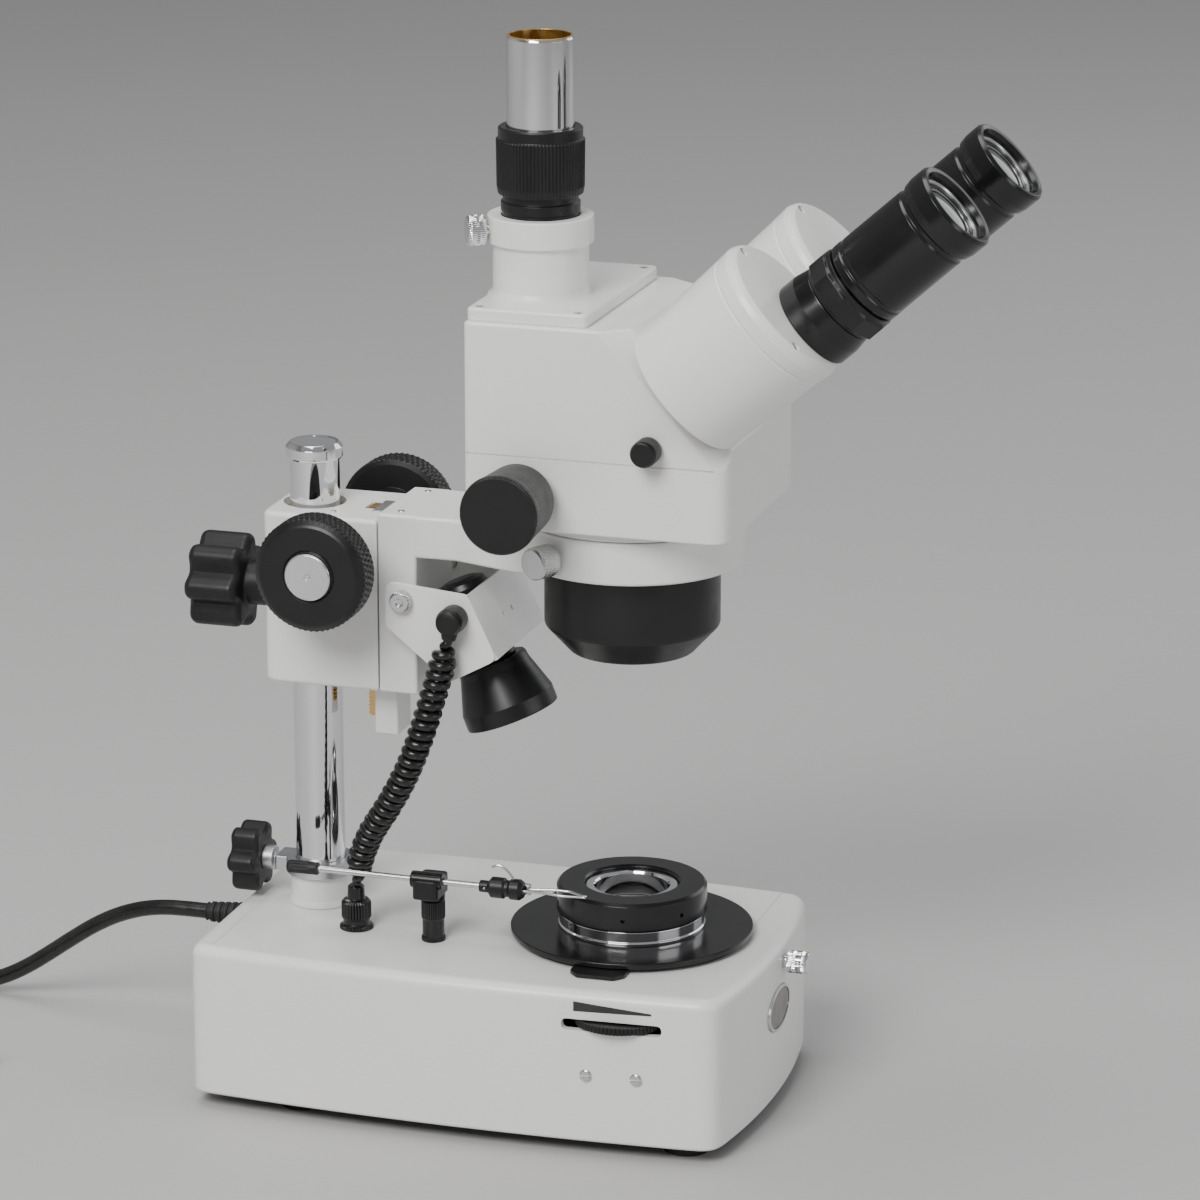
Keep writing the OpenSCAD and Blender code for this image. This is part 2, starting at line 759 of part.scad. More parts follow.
module zoom_knobs() {
    color([0.1, 0.1, 0.11]) at_axis() translate([0, zoom[0], zoom[1]]) {
        translate([-60, 0, 0]) to_right() cylinder(r = 4, h = 120);
        for (s = [-1, 1])
            translate([s * (head_hw + 0.5), 0, 0]) rotate([0, 90 * s, 0]) {
                cylinder(r = 9, h = 5);
                translate([0, 0, 4.5]) cylinder(r1 = 14, r2 = 15.5, h = 27);
            }
    }
}

module zoom_lenses() {
    color([0.3, 0.3, 0.3]) at_axis() translate([0, 0, 262]) {
        for (s = [-1, 1])
            translate([s * 12, 0, 0]) ring(10, 8, 12);
        box([-3, -3, 3], [3, 3, 8]);
    }
}

module path_rod() {
    color([0.08, 0.08, 0.08]) at_axis() translate([-head_hw, path[0], path[1]]) {
        translate([-0.5, 0, 0]) to_left() cylinder(r = 5.5, h = 10);
        translate([-1, 0, 0]) to_right() cylinder(r = 3, h = 24);
        // the mirror that sends light to the camera port
        translate([23, 0, 0]) rotate([0, 45, 0]) cube([14, 16, 1.5], center = true);
    }
}

module prism_housing(s) {
    color("whitesmoke") at_prism(s) {
        difference() {
            translate([0, 0, -prism_len + gap]) cylinder(r1 = 27.5, r2 = 30, h = prism_len - gap);
            translate([0, 0, -prism_len - 1]) cylinder(r = 24, h = prism_len - 2);
        }
    }
    color([0.06, 0.06, 0.06]) at_eyepiece(s) translate([0, 0, -eps]) ring(18, 15.1, 14);
}

module left_prism_housing() { prism_housing(-1); }
module right_prism_housing() { prism_housing(1); }

module diopter_ring() {
    color([0.1, 0.1, 0.1]) translate([0, 0, 14 + gap]) ring(18.6, 15.1, 11);
}

module left_diopter_ring() { at_eyepiece(-1) diopter_ring(); }
module right_diopter_ring() { at_eyepiece(1) diopter_ring(); }

module eyepiece() {
    color([0.06, 0.06, 0.06]) difference() {
        union() {
            translate([0, 0, 3]) cylinder(r = 15, h = 24);
            translate([0, 0, 26]) cylinder(r = 17.4, h = 40);
            translate([0, 0, 66]) cylinder(r = 18.2, h = 8);
        }
        translate([0, 0, 1]) cylinder(r = 12, h = 100);
        translate([0, 0, 68]) cylinder(r = 15, h = 10);
    }
}

module left_eyepiece() { at_eyepiece(-1) eyepiece(); }
module right_eyepiece() { at_eyepiece(1) translate([0, 0, right_out]) eyepiece(); }

module head_prisms() {
    color([0.7, 0.85, 0.9]) at_axis() {
        box([6, -10, 282], [20, 4, 296]);
        box([-6, 20, 300], [6, 34, 312]);
    }
}

// ---- cords

module cord_socket() {
    color([0.07, 0.07, 0.07]) at_axis() translate([socket_at[0], socket_at[1], 0]) {
        translate([0, 0, roof - 5]) cylinder(r = 3.8, h = 9);
        translate([0, 0, base_top]) cylinder(r = 7, h = 3.5);
        translate([0, 0, base_top + 3]) cylinder(r = 5.8, h = 4);
        translate([0, 0, base_top + 6]) cylinder(r = 4.2, h = 12);
    }
}

module lamp_cord() {
    color([0.05, 0.05, 0.05]) at_axis() tube(curly_route, curly_d / 2, 12);
}

module mains_gland() {
    color([0.05, 0.05, 0.05]) at_axis() translate([gland_at[0], 0, gland_at[1]]) {
        translate([0, base_back - 8, 0]) to_back() cylinder(r = 4.9, h = 8);
        translate([0, base_back, 0]) to_back() cylinder(r = 7, h = 3);
        translate([0, base_back + 3 - eps, 0]) to_back() cylinder(r1 = 5.6, r2 = 4.1, h = 23 + eps);
    }
}

module mains_cord() {
    color([0.05, 0.05, 0.05]) at_axis() tube(mains_route, mains_d / 2, 12);
}

module mains_coil() {
    w = coil_rows * mains_d;
    color([0.05, 0.05, 0.05]) at_axis() translate([coil_at[0], coil_at[1], 0.1])
        ring(coil_in_r - mains_d / 2 + w, coil_in_r - mains_d / 2, coil_layers * mains_d);
}

module mains_plug() {
    color([0.05, 0.05, 0.05]) at_axis() translate([plug_at[0], plug_at[1], 0]) {
        translate([-9, -44, 0]) cube([18, 26, 18]);
        translate([0, -18 - eps, 9]) to_back() cylinder(r1 = 8, r2 = 4.4, h = 30);
        translate([0, 12 - 2 * eps, 9]) to_back() cylinder(r = mains_d / 2, h = 8);
    }
    color("silver") at_axis() translate([plug_at[0], plug_at[1] - 44 + eps, 9]) {
        for (s = [-1, 1])
            translate([s * 6.35 - 0.8, -16, -3.2]) cube([1.6, 16, 6.4]);
        translate([0, 0, 5.2]) to_front() cylinder(r = 2.4, h = 18);
    }
}

base_housing();
base_plate();
rubber_feet();
base_screws();
badge();
transformer();
base_lamp();
reflector_dish();
stage_plate();
stage_band();
stage_cap();
foot_boss();
foot_collar();
pillar();
pillar_cap();
cord_socket();
lamp_cord();
mains_gland();
mains_cord();
mains_coil();
mains_plug();
gem_post();
switch_rocker();
iris_lever();
dimmer_wheel();
pull_rod();
foot_clamp_knob();
gem_head();
gem_rod();
gem_jaw();
pillar_bush();
focus_block();
clamp_knob();
pinion_shaft();
focus_knobs();
carriage_arm();
rack();
head_lock_screw();
lamp_bracket();
lamp_shroud();
lamp_bulb();
pivot_screws();
head_body();
head_cover();
objective_shroud();
objective_lens();
port_lock_screw();
camera_ring();
camera_tube();
zoom_knobs();
zoom_lenses();
path_rod();
left_prism_housing();
right_prism_housing();
left_diopter_ring();
right_diopter_ring();
left_eyepiece();
right_eyepiece();
head_prisms();
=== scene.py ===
"""Looks of the stereo microscope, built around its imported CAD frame."""
import json
from math import asin, ceil, cos, degrees, pi, radians, sin, sqrt, tau

import bmesh
import bpy
from mathutils import Matrix, Vector


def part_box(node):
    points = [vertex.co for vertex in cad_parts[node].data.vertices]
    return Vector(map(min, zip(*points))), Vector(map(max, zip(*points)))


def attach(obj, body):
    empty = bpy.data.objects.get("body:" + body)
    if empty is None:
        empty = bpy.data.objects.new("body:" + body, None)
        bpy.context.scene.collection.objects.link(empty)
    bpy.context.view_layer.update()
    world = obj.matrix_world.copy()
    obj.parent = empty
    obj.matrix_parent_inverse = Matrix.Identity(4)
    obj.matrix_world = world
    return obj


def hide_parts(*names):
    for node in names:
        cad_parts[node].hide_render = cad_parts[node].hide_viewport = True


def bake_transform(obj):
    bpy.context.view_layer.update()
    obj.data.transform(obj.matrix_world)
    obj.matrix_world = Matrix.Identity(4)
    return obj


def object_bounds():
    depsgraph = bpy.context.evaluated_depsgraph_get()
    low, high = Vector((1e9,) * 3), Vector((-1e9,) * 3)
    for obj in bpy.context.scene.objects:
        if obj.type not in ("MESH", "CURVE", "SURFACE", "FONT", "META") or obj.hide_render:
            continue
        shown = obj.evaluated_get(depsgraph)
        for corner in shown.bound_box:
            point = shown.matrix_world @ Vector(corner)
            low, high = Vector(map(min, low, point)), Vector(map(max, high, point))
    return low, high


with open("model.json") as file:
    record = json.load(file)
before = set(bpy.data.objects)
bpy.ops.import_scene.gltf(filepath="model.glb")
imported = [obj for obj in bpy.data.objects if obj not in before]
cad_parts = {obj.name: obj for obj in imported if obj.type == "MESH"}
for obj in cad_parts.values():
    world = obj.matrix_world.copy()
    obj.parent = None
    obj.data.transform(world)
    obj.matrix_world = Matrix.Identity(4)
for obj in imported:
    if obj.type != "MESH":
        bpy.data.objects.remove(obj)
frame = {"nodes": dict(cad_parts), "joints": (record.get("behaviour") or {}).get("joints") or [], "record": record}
cad_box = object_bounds()

# ---------------------------------------------------------------- places, from the frame

MM = 0.001
RECORD = frame["record"]
JOINTS = {j["name"]: j for j in frame["joints"]}
BODY = {n: b for b, group in RECORD["behaviour"]["bodies"].items() for n in group}


def spot(joint):
    """A hinge's own point, in millimetres."""
    return Vector(JOINTS[joint]["pos_m"]) / MM


def low(node):
    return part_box(node)[0] / MM


def high(node):
    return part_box(node)[1] / MM


AXIS = spot("head_turn")
AXIS_Y = AXIS.y
PILLAR = spot("arm_swing")
BASE_TOP = high("base_housing").z
BASE_LOW = low("base_housing").z
PORT = spot("camera_ring_turn")
EYE_DIR = Vector(JOINTS["left_ipd"]["axis"]).normalized()
INCLINE = asin(EYE_DIR.z)

# ---------------------------------------------------------------- sizes that several places use

BLOCK_HALF = 22.0  # half the width of the focus block and the arm's slide
HEAD_HALF = 50.0  # half the width of the head, where the knobs and prisms meet it
PRISM_LEN = 54.0
LAMP_TILT = radians(22.0)
LAMP_HALF = 30.0  # half the width of the lamp housing
COS_45 = 0.7071
# the camera, fitted to the photo
CAMERA_TURN, CAMERA_RISE = radians(17.417 - 90), radians(16.125)
CAMERA_AIM = (0, 13.344, 205.036)
CAMERA_AWAY_M = 1.9615
CAMERA_LENS = 149.97


def at(x, y, z):
    """A frame moved to a point that is given from the optical axis, in millimetres."""
    return Matrix.Translation((x, y + AXIS_Y, z))


ON_AXIS = at(0, 0, 0)

# ---------------------------------------------------------------- materials

MATERIALS = {}


class Shader:
    """A Principled material with object-space coordinates, and short ways to add nodes."""

    def __init__(self, name, color, rough, metal=0.0):
        self.mat = bpy.data.materials.new(name)
        self.mat.use_nodes = True
        self.nodes = self.mat.node_tree.nodes
        self.links = self.mat.node_tree.links
        self.bsdf = self.nodes["Principled BSDF"]
        self.color = (*color, 1.0)
        self.rough = rough
        self.bsdf.inputs["Base Color"].default_value = self.color
        self.bsdf.inputs["Roughness"].default_value = rough
        self.bsdf.inputs["Metallic"].default_value = metal
        self.coords = self.nodes.new("ShaderNodeTexCoord").outputs["Object"]
        self.normal = None
        MATERIALS[name] = self.mat

    def set(self, **values):
        for key, value in values.items():
            self.bsdf.inputs[key.replace("_", " ")].default_value = value
        return self

    def scaled(self, stretch):
        m = self.nodes.new("ShaderNodeMapping")
        m.inputs["Scale"].default_value = stretch
        self.links.new(self.coords, m.inputs["Vector"])
        return m.outputs["Vector"]

    def noise(self, scale, detail=3.0, stretch=(1, 1, 1)):
        n = self.nodes.new("ShaderNodeTexNoise")
        n.inputs["Scale"].default_value = scale
        n.inputs["Detail"].default_value = detail
        self.links.new(self.scaled(stretch), n.inputs["Vector"])
        return n.outputs["Fac"]

    def ramp(self, fac, low, high, start=0.35, end=0.65):
        r = self.nodes.new("ShaderNodeValToRGB")
        r.color_ramp.elements[0].position = start
        r.color_ramp.elements[1].position = end
        r.color_ramp.elements[0].color = (*low, 1.0)
        r.color_ramp.elements[1].color = (*high, 1.0)
        self.links.new(fac, r.inputs["Fac"])
        return r.outputs["Color"]

    def tint(self, scale, other, detail=2.0, stretch=(1, 1, 1), start=0.3, end=0.7):
        """The colour drifts between the main colour and another one."""
        fac = self.noise(scale, detail, stretch)
        self.links.new(self.ramp(fac, self.color[:3], other, start, end), self.bsdf.inputs["Base Color"])
        return self

    def uneven(self, scale, lowest, highest, stretch=(1, 1, 1)):
        """The roughness drifts between two values."""
        m = self.nodes.new("ShaderNodeMapRange")
        m.inputs["From Min"].default_value = 0.3
        m.inputs["From Max"].default_value = 0.7
        m.inputs["To Min"].default_value = lowest
        m.inputs["To Max"].default_value = highest
        self.links.new(self.noise(scale, 4.0, stretch), m.inputs["Value"])
        self.links.new(m.outputs["Result"], self.bsdf.inputs["Roughness"])
        return self

    def bump(self, fac, depth_mm, strength=1.0):
        b = self.nodes.new("ShaderNodeBump")
        b.inputs["Strength"].default_value = strength
        b.inputs["Distance"].default_value = depth_mm * MM
        self.links.new(fac, b.inputs["Height"])
        if self.normal:
            self.links.new(self.normal, b.inputs["Normal"])
        self.normal = b.outputs["Normal"]
        self.links.new(self.normal, self.bsdf.inputs["Normal"])
        return self

    def rings(self, scale, direction="Z"):
        """Turning marks: fine bands around or along an axis."""
        w = self.nodes.new("ShaderNodeTexWave")
        w.bands_direction = direction
        w.inputs["Scale"].default_value = scale
        w.inputs["Distortion"].default_value = 1.2
        w.inputs["Detail"].default_value = 2.0
        self.links.new(self.coords, w.inputs["Vector"])
        return w.outputs["Fac"]


def make_materials():
    s = Shader("enamel", (0.83, 0.83, 0.81), 0.34).set(Coat_Weight=0.25, Coat_Roughness=0.18)
    s.tint(14, (0.81, 0.81, 0.785)).uneven(220, 0.29, 0.42)
    s.bump(s.noise(900, 2.0), 0.05, 0.35).bump(s.noise(120, 1.0), 0.06, 0.25)
    s = Shader("black_gloss", (0.005, 0.005, 0.0055), 0.2).set(Specular_IOR_Level=0.45)
    s.tint(40, (0.008, 0.008, 0.0085)).uneven(90, 0.17, 0.25)
    s.bump(s.noise(1500, 2.0), 0.01, 0.15)
    s = Shader("black_satin", (0.006, 0.006, 0.0065), 0.34).set(Specular_IOR_Level=0.4)
    s.tint(45, (0.010, 0.010, 0.0105)).uneven(160, 0.3, 0.4)
    s.bump(s.noise(2200, 2.0), 0.03, 0.3)
    s = Shader("black_moulded", (0.006, 0.006, 0.0065), 0.4).set(Specular_IOR_Level=0.4)
    s.tint(70, (0.011, 0.011, 0.0115)).uneven(300, 0.36, 0.52)
    s.bump(s.noise(2600, 3.0), 0.06, 0.45)
    s = Shader("black_rubber", (0.012, 0.012, 0.012), 0.6).set(Specular_IOR_Level=0.4)
    s.tint(90, (0.02, 0.02, 0.0195)).uneven(260, 0.55, 0.72)
    s.bump(s.noise(3000, 3.0), 0.06, 0.5)
    s = Shader("cord_skin", (0.007, 0.007, 0.007), 0.25).set(Specular_IOR_Level=0.5)
    s.tint(120, (0.012, 0.012, 0.0115)).uneven(300, 0.2, 0.32)
    s.bump(s.noise(2000, 2.0), 0.03, 0.25)
    s = Shader("chrome", (0.82, 0.82, 0.835), 0.07, 1.0)
    s.tint(18, (0.77, 0.77, 0.79)).uneven(30, 0.04, 0.08)
    s = Shader("steel", (0.66, 0.66, 0.67), 0.24, 1.0)
    s.tint(60, (0.61, 0.61, 0.62)).uneven(90, 0.2, 0.28)
    s.bump(s.noise(1800, 2.0), 0.006, 0.15)
    s = Shader("spun", (0.74, 0.74, 0.75), 0.26, 1.0).set(Anisotropic=0.7)
    s.tint(40, (0.7, 0.7, 0.71)).uneven(60, 0.22, 0.28)
    s = Shader("aluminium", (0.62, 0.63, 0.64), 0.36, 1.0)
    s.tint(90, (0.53, 0.54, 0.55)).uneven(200, 0.3, 0.45)
    s.bump(s.noise(2400, 2.0), 0.03, 0.35)
    s = Shader("brass", (0.72, 0.50, 0.18), 0.26, 1.0)
    s.tint(80, (0.60, 0.39, 0.12)).uneven(240, 0.2, 0.38)
    s.bump(s.rings(380), 0.02, 0.3)
    s = Shader("bronze", (0.42, 0.27, 0.12), 0.38, 1.0)
    s.tint(70, (0.34, 0.21, 0.09)).uneven(200, 0.32, 0.5)
    s = Shader("dark_plate", (0.07, 0.07, 0.072), 0.5)
    s.tint(40, (0.1, 0.1, 0.1)).bump(s.noise(1200, 3.0), 0.08, 0.4)
    s = Shader("board", (0.02, 0.09, 0.035), 0.45)
    s.tint(160, (0.035, 0.13, 0.05)).bump(s.noise(500, 2.0), 0.1, 0.4)
    s = Shader("lens", (0.55, 0.66, 0.80), 0.03).set(Transmission_Weight=0.75, IOR=1.52, Coat_Weight=0.6)
    s.tint(8, (0.62, 0.52, 0.72)).uneven(40, 0.02, 0.06)
    s = Shader("coated_lens", (0.02, 0.03, 0.024), 0.03).set(Coat_Weight=1.0, Coat_Roughness=0.02)
    s.set(Specular_Tint=(0.55, 0.9, 0.6, 1)).tint(25, (0.035, 0.03, 0.022)).uneven(40, 0.02, 0.05)
    s = Shader("bulb_glass", (0.95, 0.92, 0.82), 0.06).set(Transmission_Weight=0.7, IOR=1.47)
    s.tint(90, (0.9, 0.85, 0.7)).uneven(60, 0.04, 0.12)
    s = Shader("badge_face", (0.035, 0.022, 0.018), 0.25).set(Coat_Weight=0.5)
    s.tint(70, (0.06, 0.035, 0.025)).uneven(200, 0.2, 0.35)
    s = Shader("print_black", (0.02, 0.02, 0.02), 0.45)
    s.tint(200, (0.035, 0.035, 0.035)).uneven(500, 0.4, 0.55)
    # painted shade: a dull black for the shade inside the eyepiece tube
    s = Shader("painted_hollow_shade", (0.006, 0.006, 0.006), 0.8)
    s.tint(60, (0.012, 0.012, 0.012)).uneven(100, 0.7, 0.9)
    s = Shader("floor", (0.5, 0.495, 0.49), 0.6)
    s.tint(1.5, (0.485, 0.48, 0.475)).uneven(3, 0.55, 0.65)


def paint(obj, *names):
    obj.data.materials.clear()
    for name in names:
        obj.data.materials.append(MATERIALS[name])
    return obj


# ---------------------------------------------------------------- mesh helpers


def link(name, bm, place=Matrix.Identity(4)):
    """A new object from a bmesh in millimetres, put in place and scaled to metres."""
    bmesh.ops.recalc_face_normals(bm, faces=bm.faces)
    mesh = bpy.data.meshes.new(name)
    bm.to_mesh(mesh)
    bm.free()
    mesh.transform(Matrix.Scale(MM, 4) @ place)
    obj = bpy.data.objects.new(name, mesh)
    bpy.context.scene.collection.objects.link(obj)
    return obj


def applied(obj):
    """Puts the object's modifiers into its mesh."""
    bpy.context.view_layer.update()
    mesh = bpy.data.meshes.new_from_object(obj.evaluated_get(bpy.context.evaluated_depsgraph_get()))
    obj.modifiers.clear()
    obj.data = mesh
    return obj


def shade(obj, sharp=32.0):
    """Smooth shading that stops at edges sharper than the angle, weighted by face area."""
    bm = bmesh.new()
    bm.from_mesh(obj.data)
    for f in bm.faces:
        f.smooth = True
    for e in bm.edges:
        e.smooth = len(e.link_faces) == 2 and degrees(e.calc_face_angle(0.0)) < sharp
    bm.to_mesh(obj.data)
    bm.free()
    weighted = obj.modifiers.new("weighted", "WEIGHTED_NORMAL")
    weighted.keep_sharp = True
    return obj


def bevel(obj, width, segments=3, angle=38.0):
    b = obj.modifiers.new("bevel", "BEVEL")
    b.width = width * MM
    b.segments = segments
    b.limit_method = "ANGLE"
    b.angle_limit = radians(angle)
    b.miter_outer = "MITER_ARC"
    return applied(obj)


def outward(obj):
    """Turns every face of a closed mesh outward."""
    bm = bmesh.new()
    bm.from_mesh(obj.data)
    if bm.calc_volume(signed=True) < 0:
        bmesh.ops.reverse_faces(bm, faces=bm.faces)
        bm.to_mesh(obj.data)
    bm.free()


def combine(obj, others, operation):
    """A boolean with other objects, which are used up."""
    for part in (obj, *others):
        outward(part)
    for other in others:
        m = obj.modifiers.new("cut", "BOOLEAN")
        m.operation = operation
        m.solver = "EXACT"
        m.object = other
    applied(obj)
    for other in others:
        bpy.data.objects.remove(other)
    return obj


def cut(obj, *others):
    return combine(obj, others, "DIFFERENCE")


def loft(name, loops, place=Matrix.Identity(4), closed=False):
    """Skins a stack of loops that have the same number of points."""
    bm = bmesh.new()
    rows = [[bm.verts.new(p) for p in loop] for loop in loops]
    n = len(rows[0])
    pairs = list(zip(rows, rows[1:] + rows[:1])) if closed else list(zip(rows, rows[1:]))
    for a, b in pairs:
        for i in range(n):
            k = (i + 1) % n
            bm.faces.new((a[i], a[k], b[k], b[i]))
    if not closed:
        bm.faces.new(rows[0][::-1])
        bm.faces.new(rows[-1])
    return link(name, bm, place)


def rounded(points, radius, steps=4, closed=True):
    """The outline again with its corners rounded."""
    out = []
    n = len(points)
    for i, p in enumerate(points):
        p = Vector(p)
        if not closed and i in (0, n - 1):
            out.append(p)
            continue
        a, b = Vector(points[i - 1]) - p, Vector(points[(i + 1) % n]) - p
        angle = a.angle(b) if a.length and b.length else pi
        if angle > radians(172):
            out.append(p)
            continue
        half = angle / 2
        reach = min(radius * cos(half) / sin(half), 0.48 * a.length, 0.48 * b.length)
        start, end = p + a.normalized() * reach, p + b.normalized() * reach
        for k in range(steps + 1):
            t = k / steps
            out.append((1 - t) ** 2 * start + 2 * t * (1 - t) * p + t * t * end)
    return out


def lathe(name, profile, place=Matrix.Identity(4), n=96, radius=0.4, ring=True, wave=None):
    """Turns a profile of (r, z) points round Z. wave(angle, r, z) changes the radius."""
    points = rounded(profile, radius, 4, closed=ring)
    bm = bmesh.new()
    rows = []
    for p in points:
        if p.x < 1e-6:
            rows.append([bm.verts.new((0, 0, p.y))])
            continue
        row = []
        for i in range(n):
            a = tau * i / n
            r = p.x + (wave(a, p.x, p.y) if wave else 0)
            row.append(bm.verts.new((r * cos(a), r * sin(a), p.y)))
        rows.append(row)
    pairs = list(zip(rows, rows[1:]))
    if ring:
        pairs.append((rows[-1], rows[0]))
    for a, b in pairs:
        for i in range(n):
            k = (i + 1) % n
            corners = [a[i % len(a)], a[k % len(a)], b[k % len(b)], b[i % len(b)]]
            used = [v for j, v in enumerate(corners) if v not in corners[:j]]
            if len(used) > 2:
                bm.faces.new(used)
    return shade(link(name, bm, place))


def inset(outline, amount):
    """An outline moved inwards. It runs counterclockwise and has no tight inner corners."""
    out = []
    n = len(outline)
    for i, p in enumerate(outline):
        a, b = outline[i - 1], outline[(i + 1) % n]
        along = (Vector(b[:2]) - Vector(a[:2])).normalized()
        out.append(Vector((p[0] - along.y * amount, p[1] + along.x * amount)))
    return out


def slab(name, outline, z0, z1, edge=1.0, place=Matrix.Identity(4), steps=4):
    """A plate of that outline with rounded rims."""
    loops = []
    for k in range(steps + 1):
        a = pi / 2 * k / steps
        loops.append((edge * (1 - sin(a)), z0 + edge * (1 - cos(a))))
    for k in range(steps + 1):
        a = pi / 2 * k / steps
        loops.append((edge * (1 - cos(a)), z1 - edge * (1 - sin(a))))
    stack = [[(p.x, p.y, z) for p in inset(outline, d)] for d, z in loops]
    return shade(loft(name, stack, place))


def rectangle(x0, y0, x1, y1, radius, steps=5):
    return rounded([(x0, y0), (x1, y0), (x1, y1), (x0, y1)], radius, steps)


def circle(r, n=64, cx=0.0, cy=0.0):
    return [Vector((cx + r * cos(tau * i / n), cy + r * sin(tau * i / n))) for i in range(n)]


def polar(r_of, n):
    return [Vector((r_of(tau * i / n) * cos(tau * i / n), r_of(tau * i / n) * sin(tau * i / n)))
            for i in range(n)]


def rod(name, r, z0, z1, place, edge=0.3, n=48):
    return lathe(name, [(0, z0), (r, z0), (r, z1), (0, z1)], place, n, edge, ring=False)


def cutter(points, z0, z1, place=Matrix.Identity(4)):
    """A plain prism, to cut with."""
    return loft("cutter", [[(p[0], p[1], z) for p in points] for z in (z0, z1)], place)


def sphere_cap(name, r, rise, place, n=64):
    """A dome of that rim radius and rise, with a flat back."""
    big = (r * r + rise * rise) / (2 * rise)
    full = asin(min(1.0, r / big))
    arc = [(big * sin(full * k / 8), rise - big * (1 - cos(full * k / 8))) for k in range(9)]
    return lathe(name, [*arc, (r, -0.5), (0, -0.5)], place, n, 0.1, ring=False)


def give(obj, material, *nodes, body=None, slot=None):
    """Paints a piece, lets it ride on its nodes' body, and hides the CAD nodes it stands for."""
    paint(obj, material)
    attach(obj, body or BODY[nodes[0]])
    if nodes:
        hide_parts(*nodes)
    return obj


def refine(node, material, width, slot=None, segments=2):
    """A copy of a CAD node with its flat faces merged and its edges broken."""
    obj = frame["nodes"][node].copy()
    obj.data = obj.data.copy()
    obj.name = node + "_finished"
    for key in list(obj.keys()):
        del obj[key]
    obj.parent = None
    obj.matrix_world = Matrix.Identity(4)
    bpy.context.scene.collection.objects.link(obj)
    bm = bmesh.new()
    bm.from_mesh(obj.data)
    bmesh.ops.remove_doubles(bm, verts=bm.verts, dist=2e-6)
    bmesh.ops.dissolve_limit(bm, angle_limit=radians(0.6), verts=bm.verts, edges=bm.edges)
    bm.to_mesh(obj.data)
    bm.free()
    if width:
        bevel(obj, width, segments)
    return give(shade(obj), material, node, slot=slot)


def screw(name, place, r, h, body, recess="cross", material="steel"):
    """A small screw head with a driver recess; its own +Z points out."""
    head = lathe(name, [(0, 0), (r, 0), (r, h * 0.75), (r * 0.8, h), (0, h)], place, 40, 0.15, ring=False)
    if recess == "slot":
        tools = [cutter([(-r, -r * 0.16), (r, -r * 0.16), (r, r * 0.16), (-r, r * 0.16)], h * 0.5, h * 2,
                        place)]
    elif recess == "hex":
        tools = [cutter(circle(r * 0.5, 6), h * 0.3, h * 2, place)]
    else:
        w = r * 0.14
        tools = [cutter(p, h * 0.4, h * 2, place) for p in (
            [(-r * 0.6, -w), (r * 0.6, -w), (r * 0.6, w), (-r * 0.6, w)],
            [(-w, -r * 0.6), (w, -r * 0.6), (w, r * 0.6), (-w, r * 0.6)])]
    return give(shade(cut(head, *tools)), material, body=body, slot="bright_steel")


def sweep(name, path, r_of, n=20, caps=True):
    """A round tube along the path, in millimetres. r_of(k) is its radius at point k."""
    bm = bmesh.new()
    points = [Vector(p) for p in path]
    count = len(points)
    tangents = []
    for k in range(count):
        a, b = points[max(k - 1, 0)], points[min(k + 1, count - 1)]
        tangents.append((b - a).normalized())
    side = tangents[0].orthogonal().normalized()
    rows = []
    for k, (p, t) in enumerate(zip(points, tangents)):
        side = (side - t * side.dot(t)).normalized()
        up = t.cross(side)
        r = r_of(k)
        rows.append([bm.verts.new(p + side * r * cos(tau * i / n) + up * r * sin(tau * i / n))
                     for i in range(n)])
    for a, b in zip(rows, rows[1:]):
        for i in range(n):
            k = (i + 1) % n
            bm.faces.new((a[i], a[k], b[k], b[i]))
    if caps:
        bm.faces.new(rows[0][::-1])
        bm.faces.new(rows[-1])
    return shade(link(name, bm))


def smooth_path(points, step=2.0):
    """A Catmull-Rom line through the points, resampled at that spacing."""
    p = [Vector(v) for v in points]
    p = [2 * p[0] - p[1], *p, 2 * p[-1] - p[-2]]
    fine = []
    for a, b, c, d in zip(p, p[1:], p[2:], p[3:]):
        for k in range(24):
            t = k / 24
            fine.append(0.5 * (2 * b + (c - a) * t + (2 * a - 5 * b + 4 * c - d) * t * t
                               + (3 * b - a - 3 * c + d) * t ** 3))
    fine.append(p[-2])
    return resample(fine, step)


def resample(points, step):
    total = length(points)
    count = max(2, ceil(total / step))
    out, done, k = [points[0]], 0.0, 0
    for i in range(1, count):
        want = total * i / count
        while done + (points[k + 1] - points[k]).length < want:
            done += (points[k + 1] - points[k]).length
            k += 1
        out.append(points[k].lerp(points[k + 1], (want - done) / (points[k + 1] - points[k]).length))
    out.append(points[-1])
    return out


def length(points):
    return sum((b - a).length for a, b in zip(points, points[1:]))


def ease(t):
    t = min(1.0, max(0.0, t))
    return t * t * (3 - 2 * t)


# ---------------------------------------------------------------- camera


def make_camera():
    """The photo's own angle and distance, aimed at the head."""
    turn, tilt = CAMERA_TURN, CAMERA_RISE
    back = Vector((sin(turn) * cos(tilt), -cos(turn) * cos(tilt), sin(tilt)))
    right = Vector((cos(turn), sin(turn), 0))
    aim = Vector((0, CAMERA_AIM[1] + AXIS_Y, CAMERA_AIM[2])) * MM
    up = back.cross(right)
    data = bpy.data.cameras.new("camera")
    data.lens = CAMERA_LENS
    data.sensor_width = 36
    data.clip_start = 0.05
    data.clip_end = 20
    data.dof.use_dof = False
    cam = bpy.data.objects.new("camera", data)
    cam.matrix_world = Matrix.Translation(aim + back * CAMERA_AWAY_M) @ Matrix(
        (right, up, back)).transposed().to_4x4()
    bpy.context.scene.collection.objects.link(cam)
    bpy.context.scene.camera = cam


# ---------------------------------------------------------------- cords

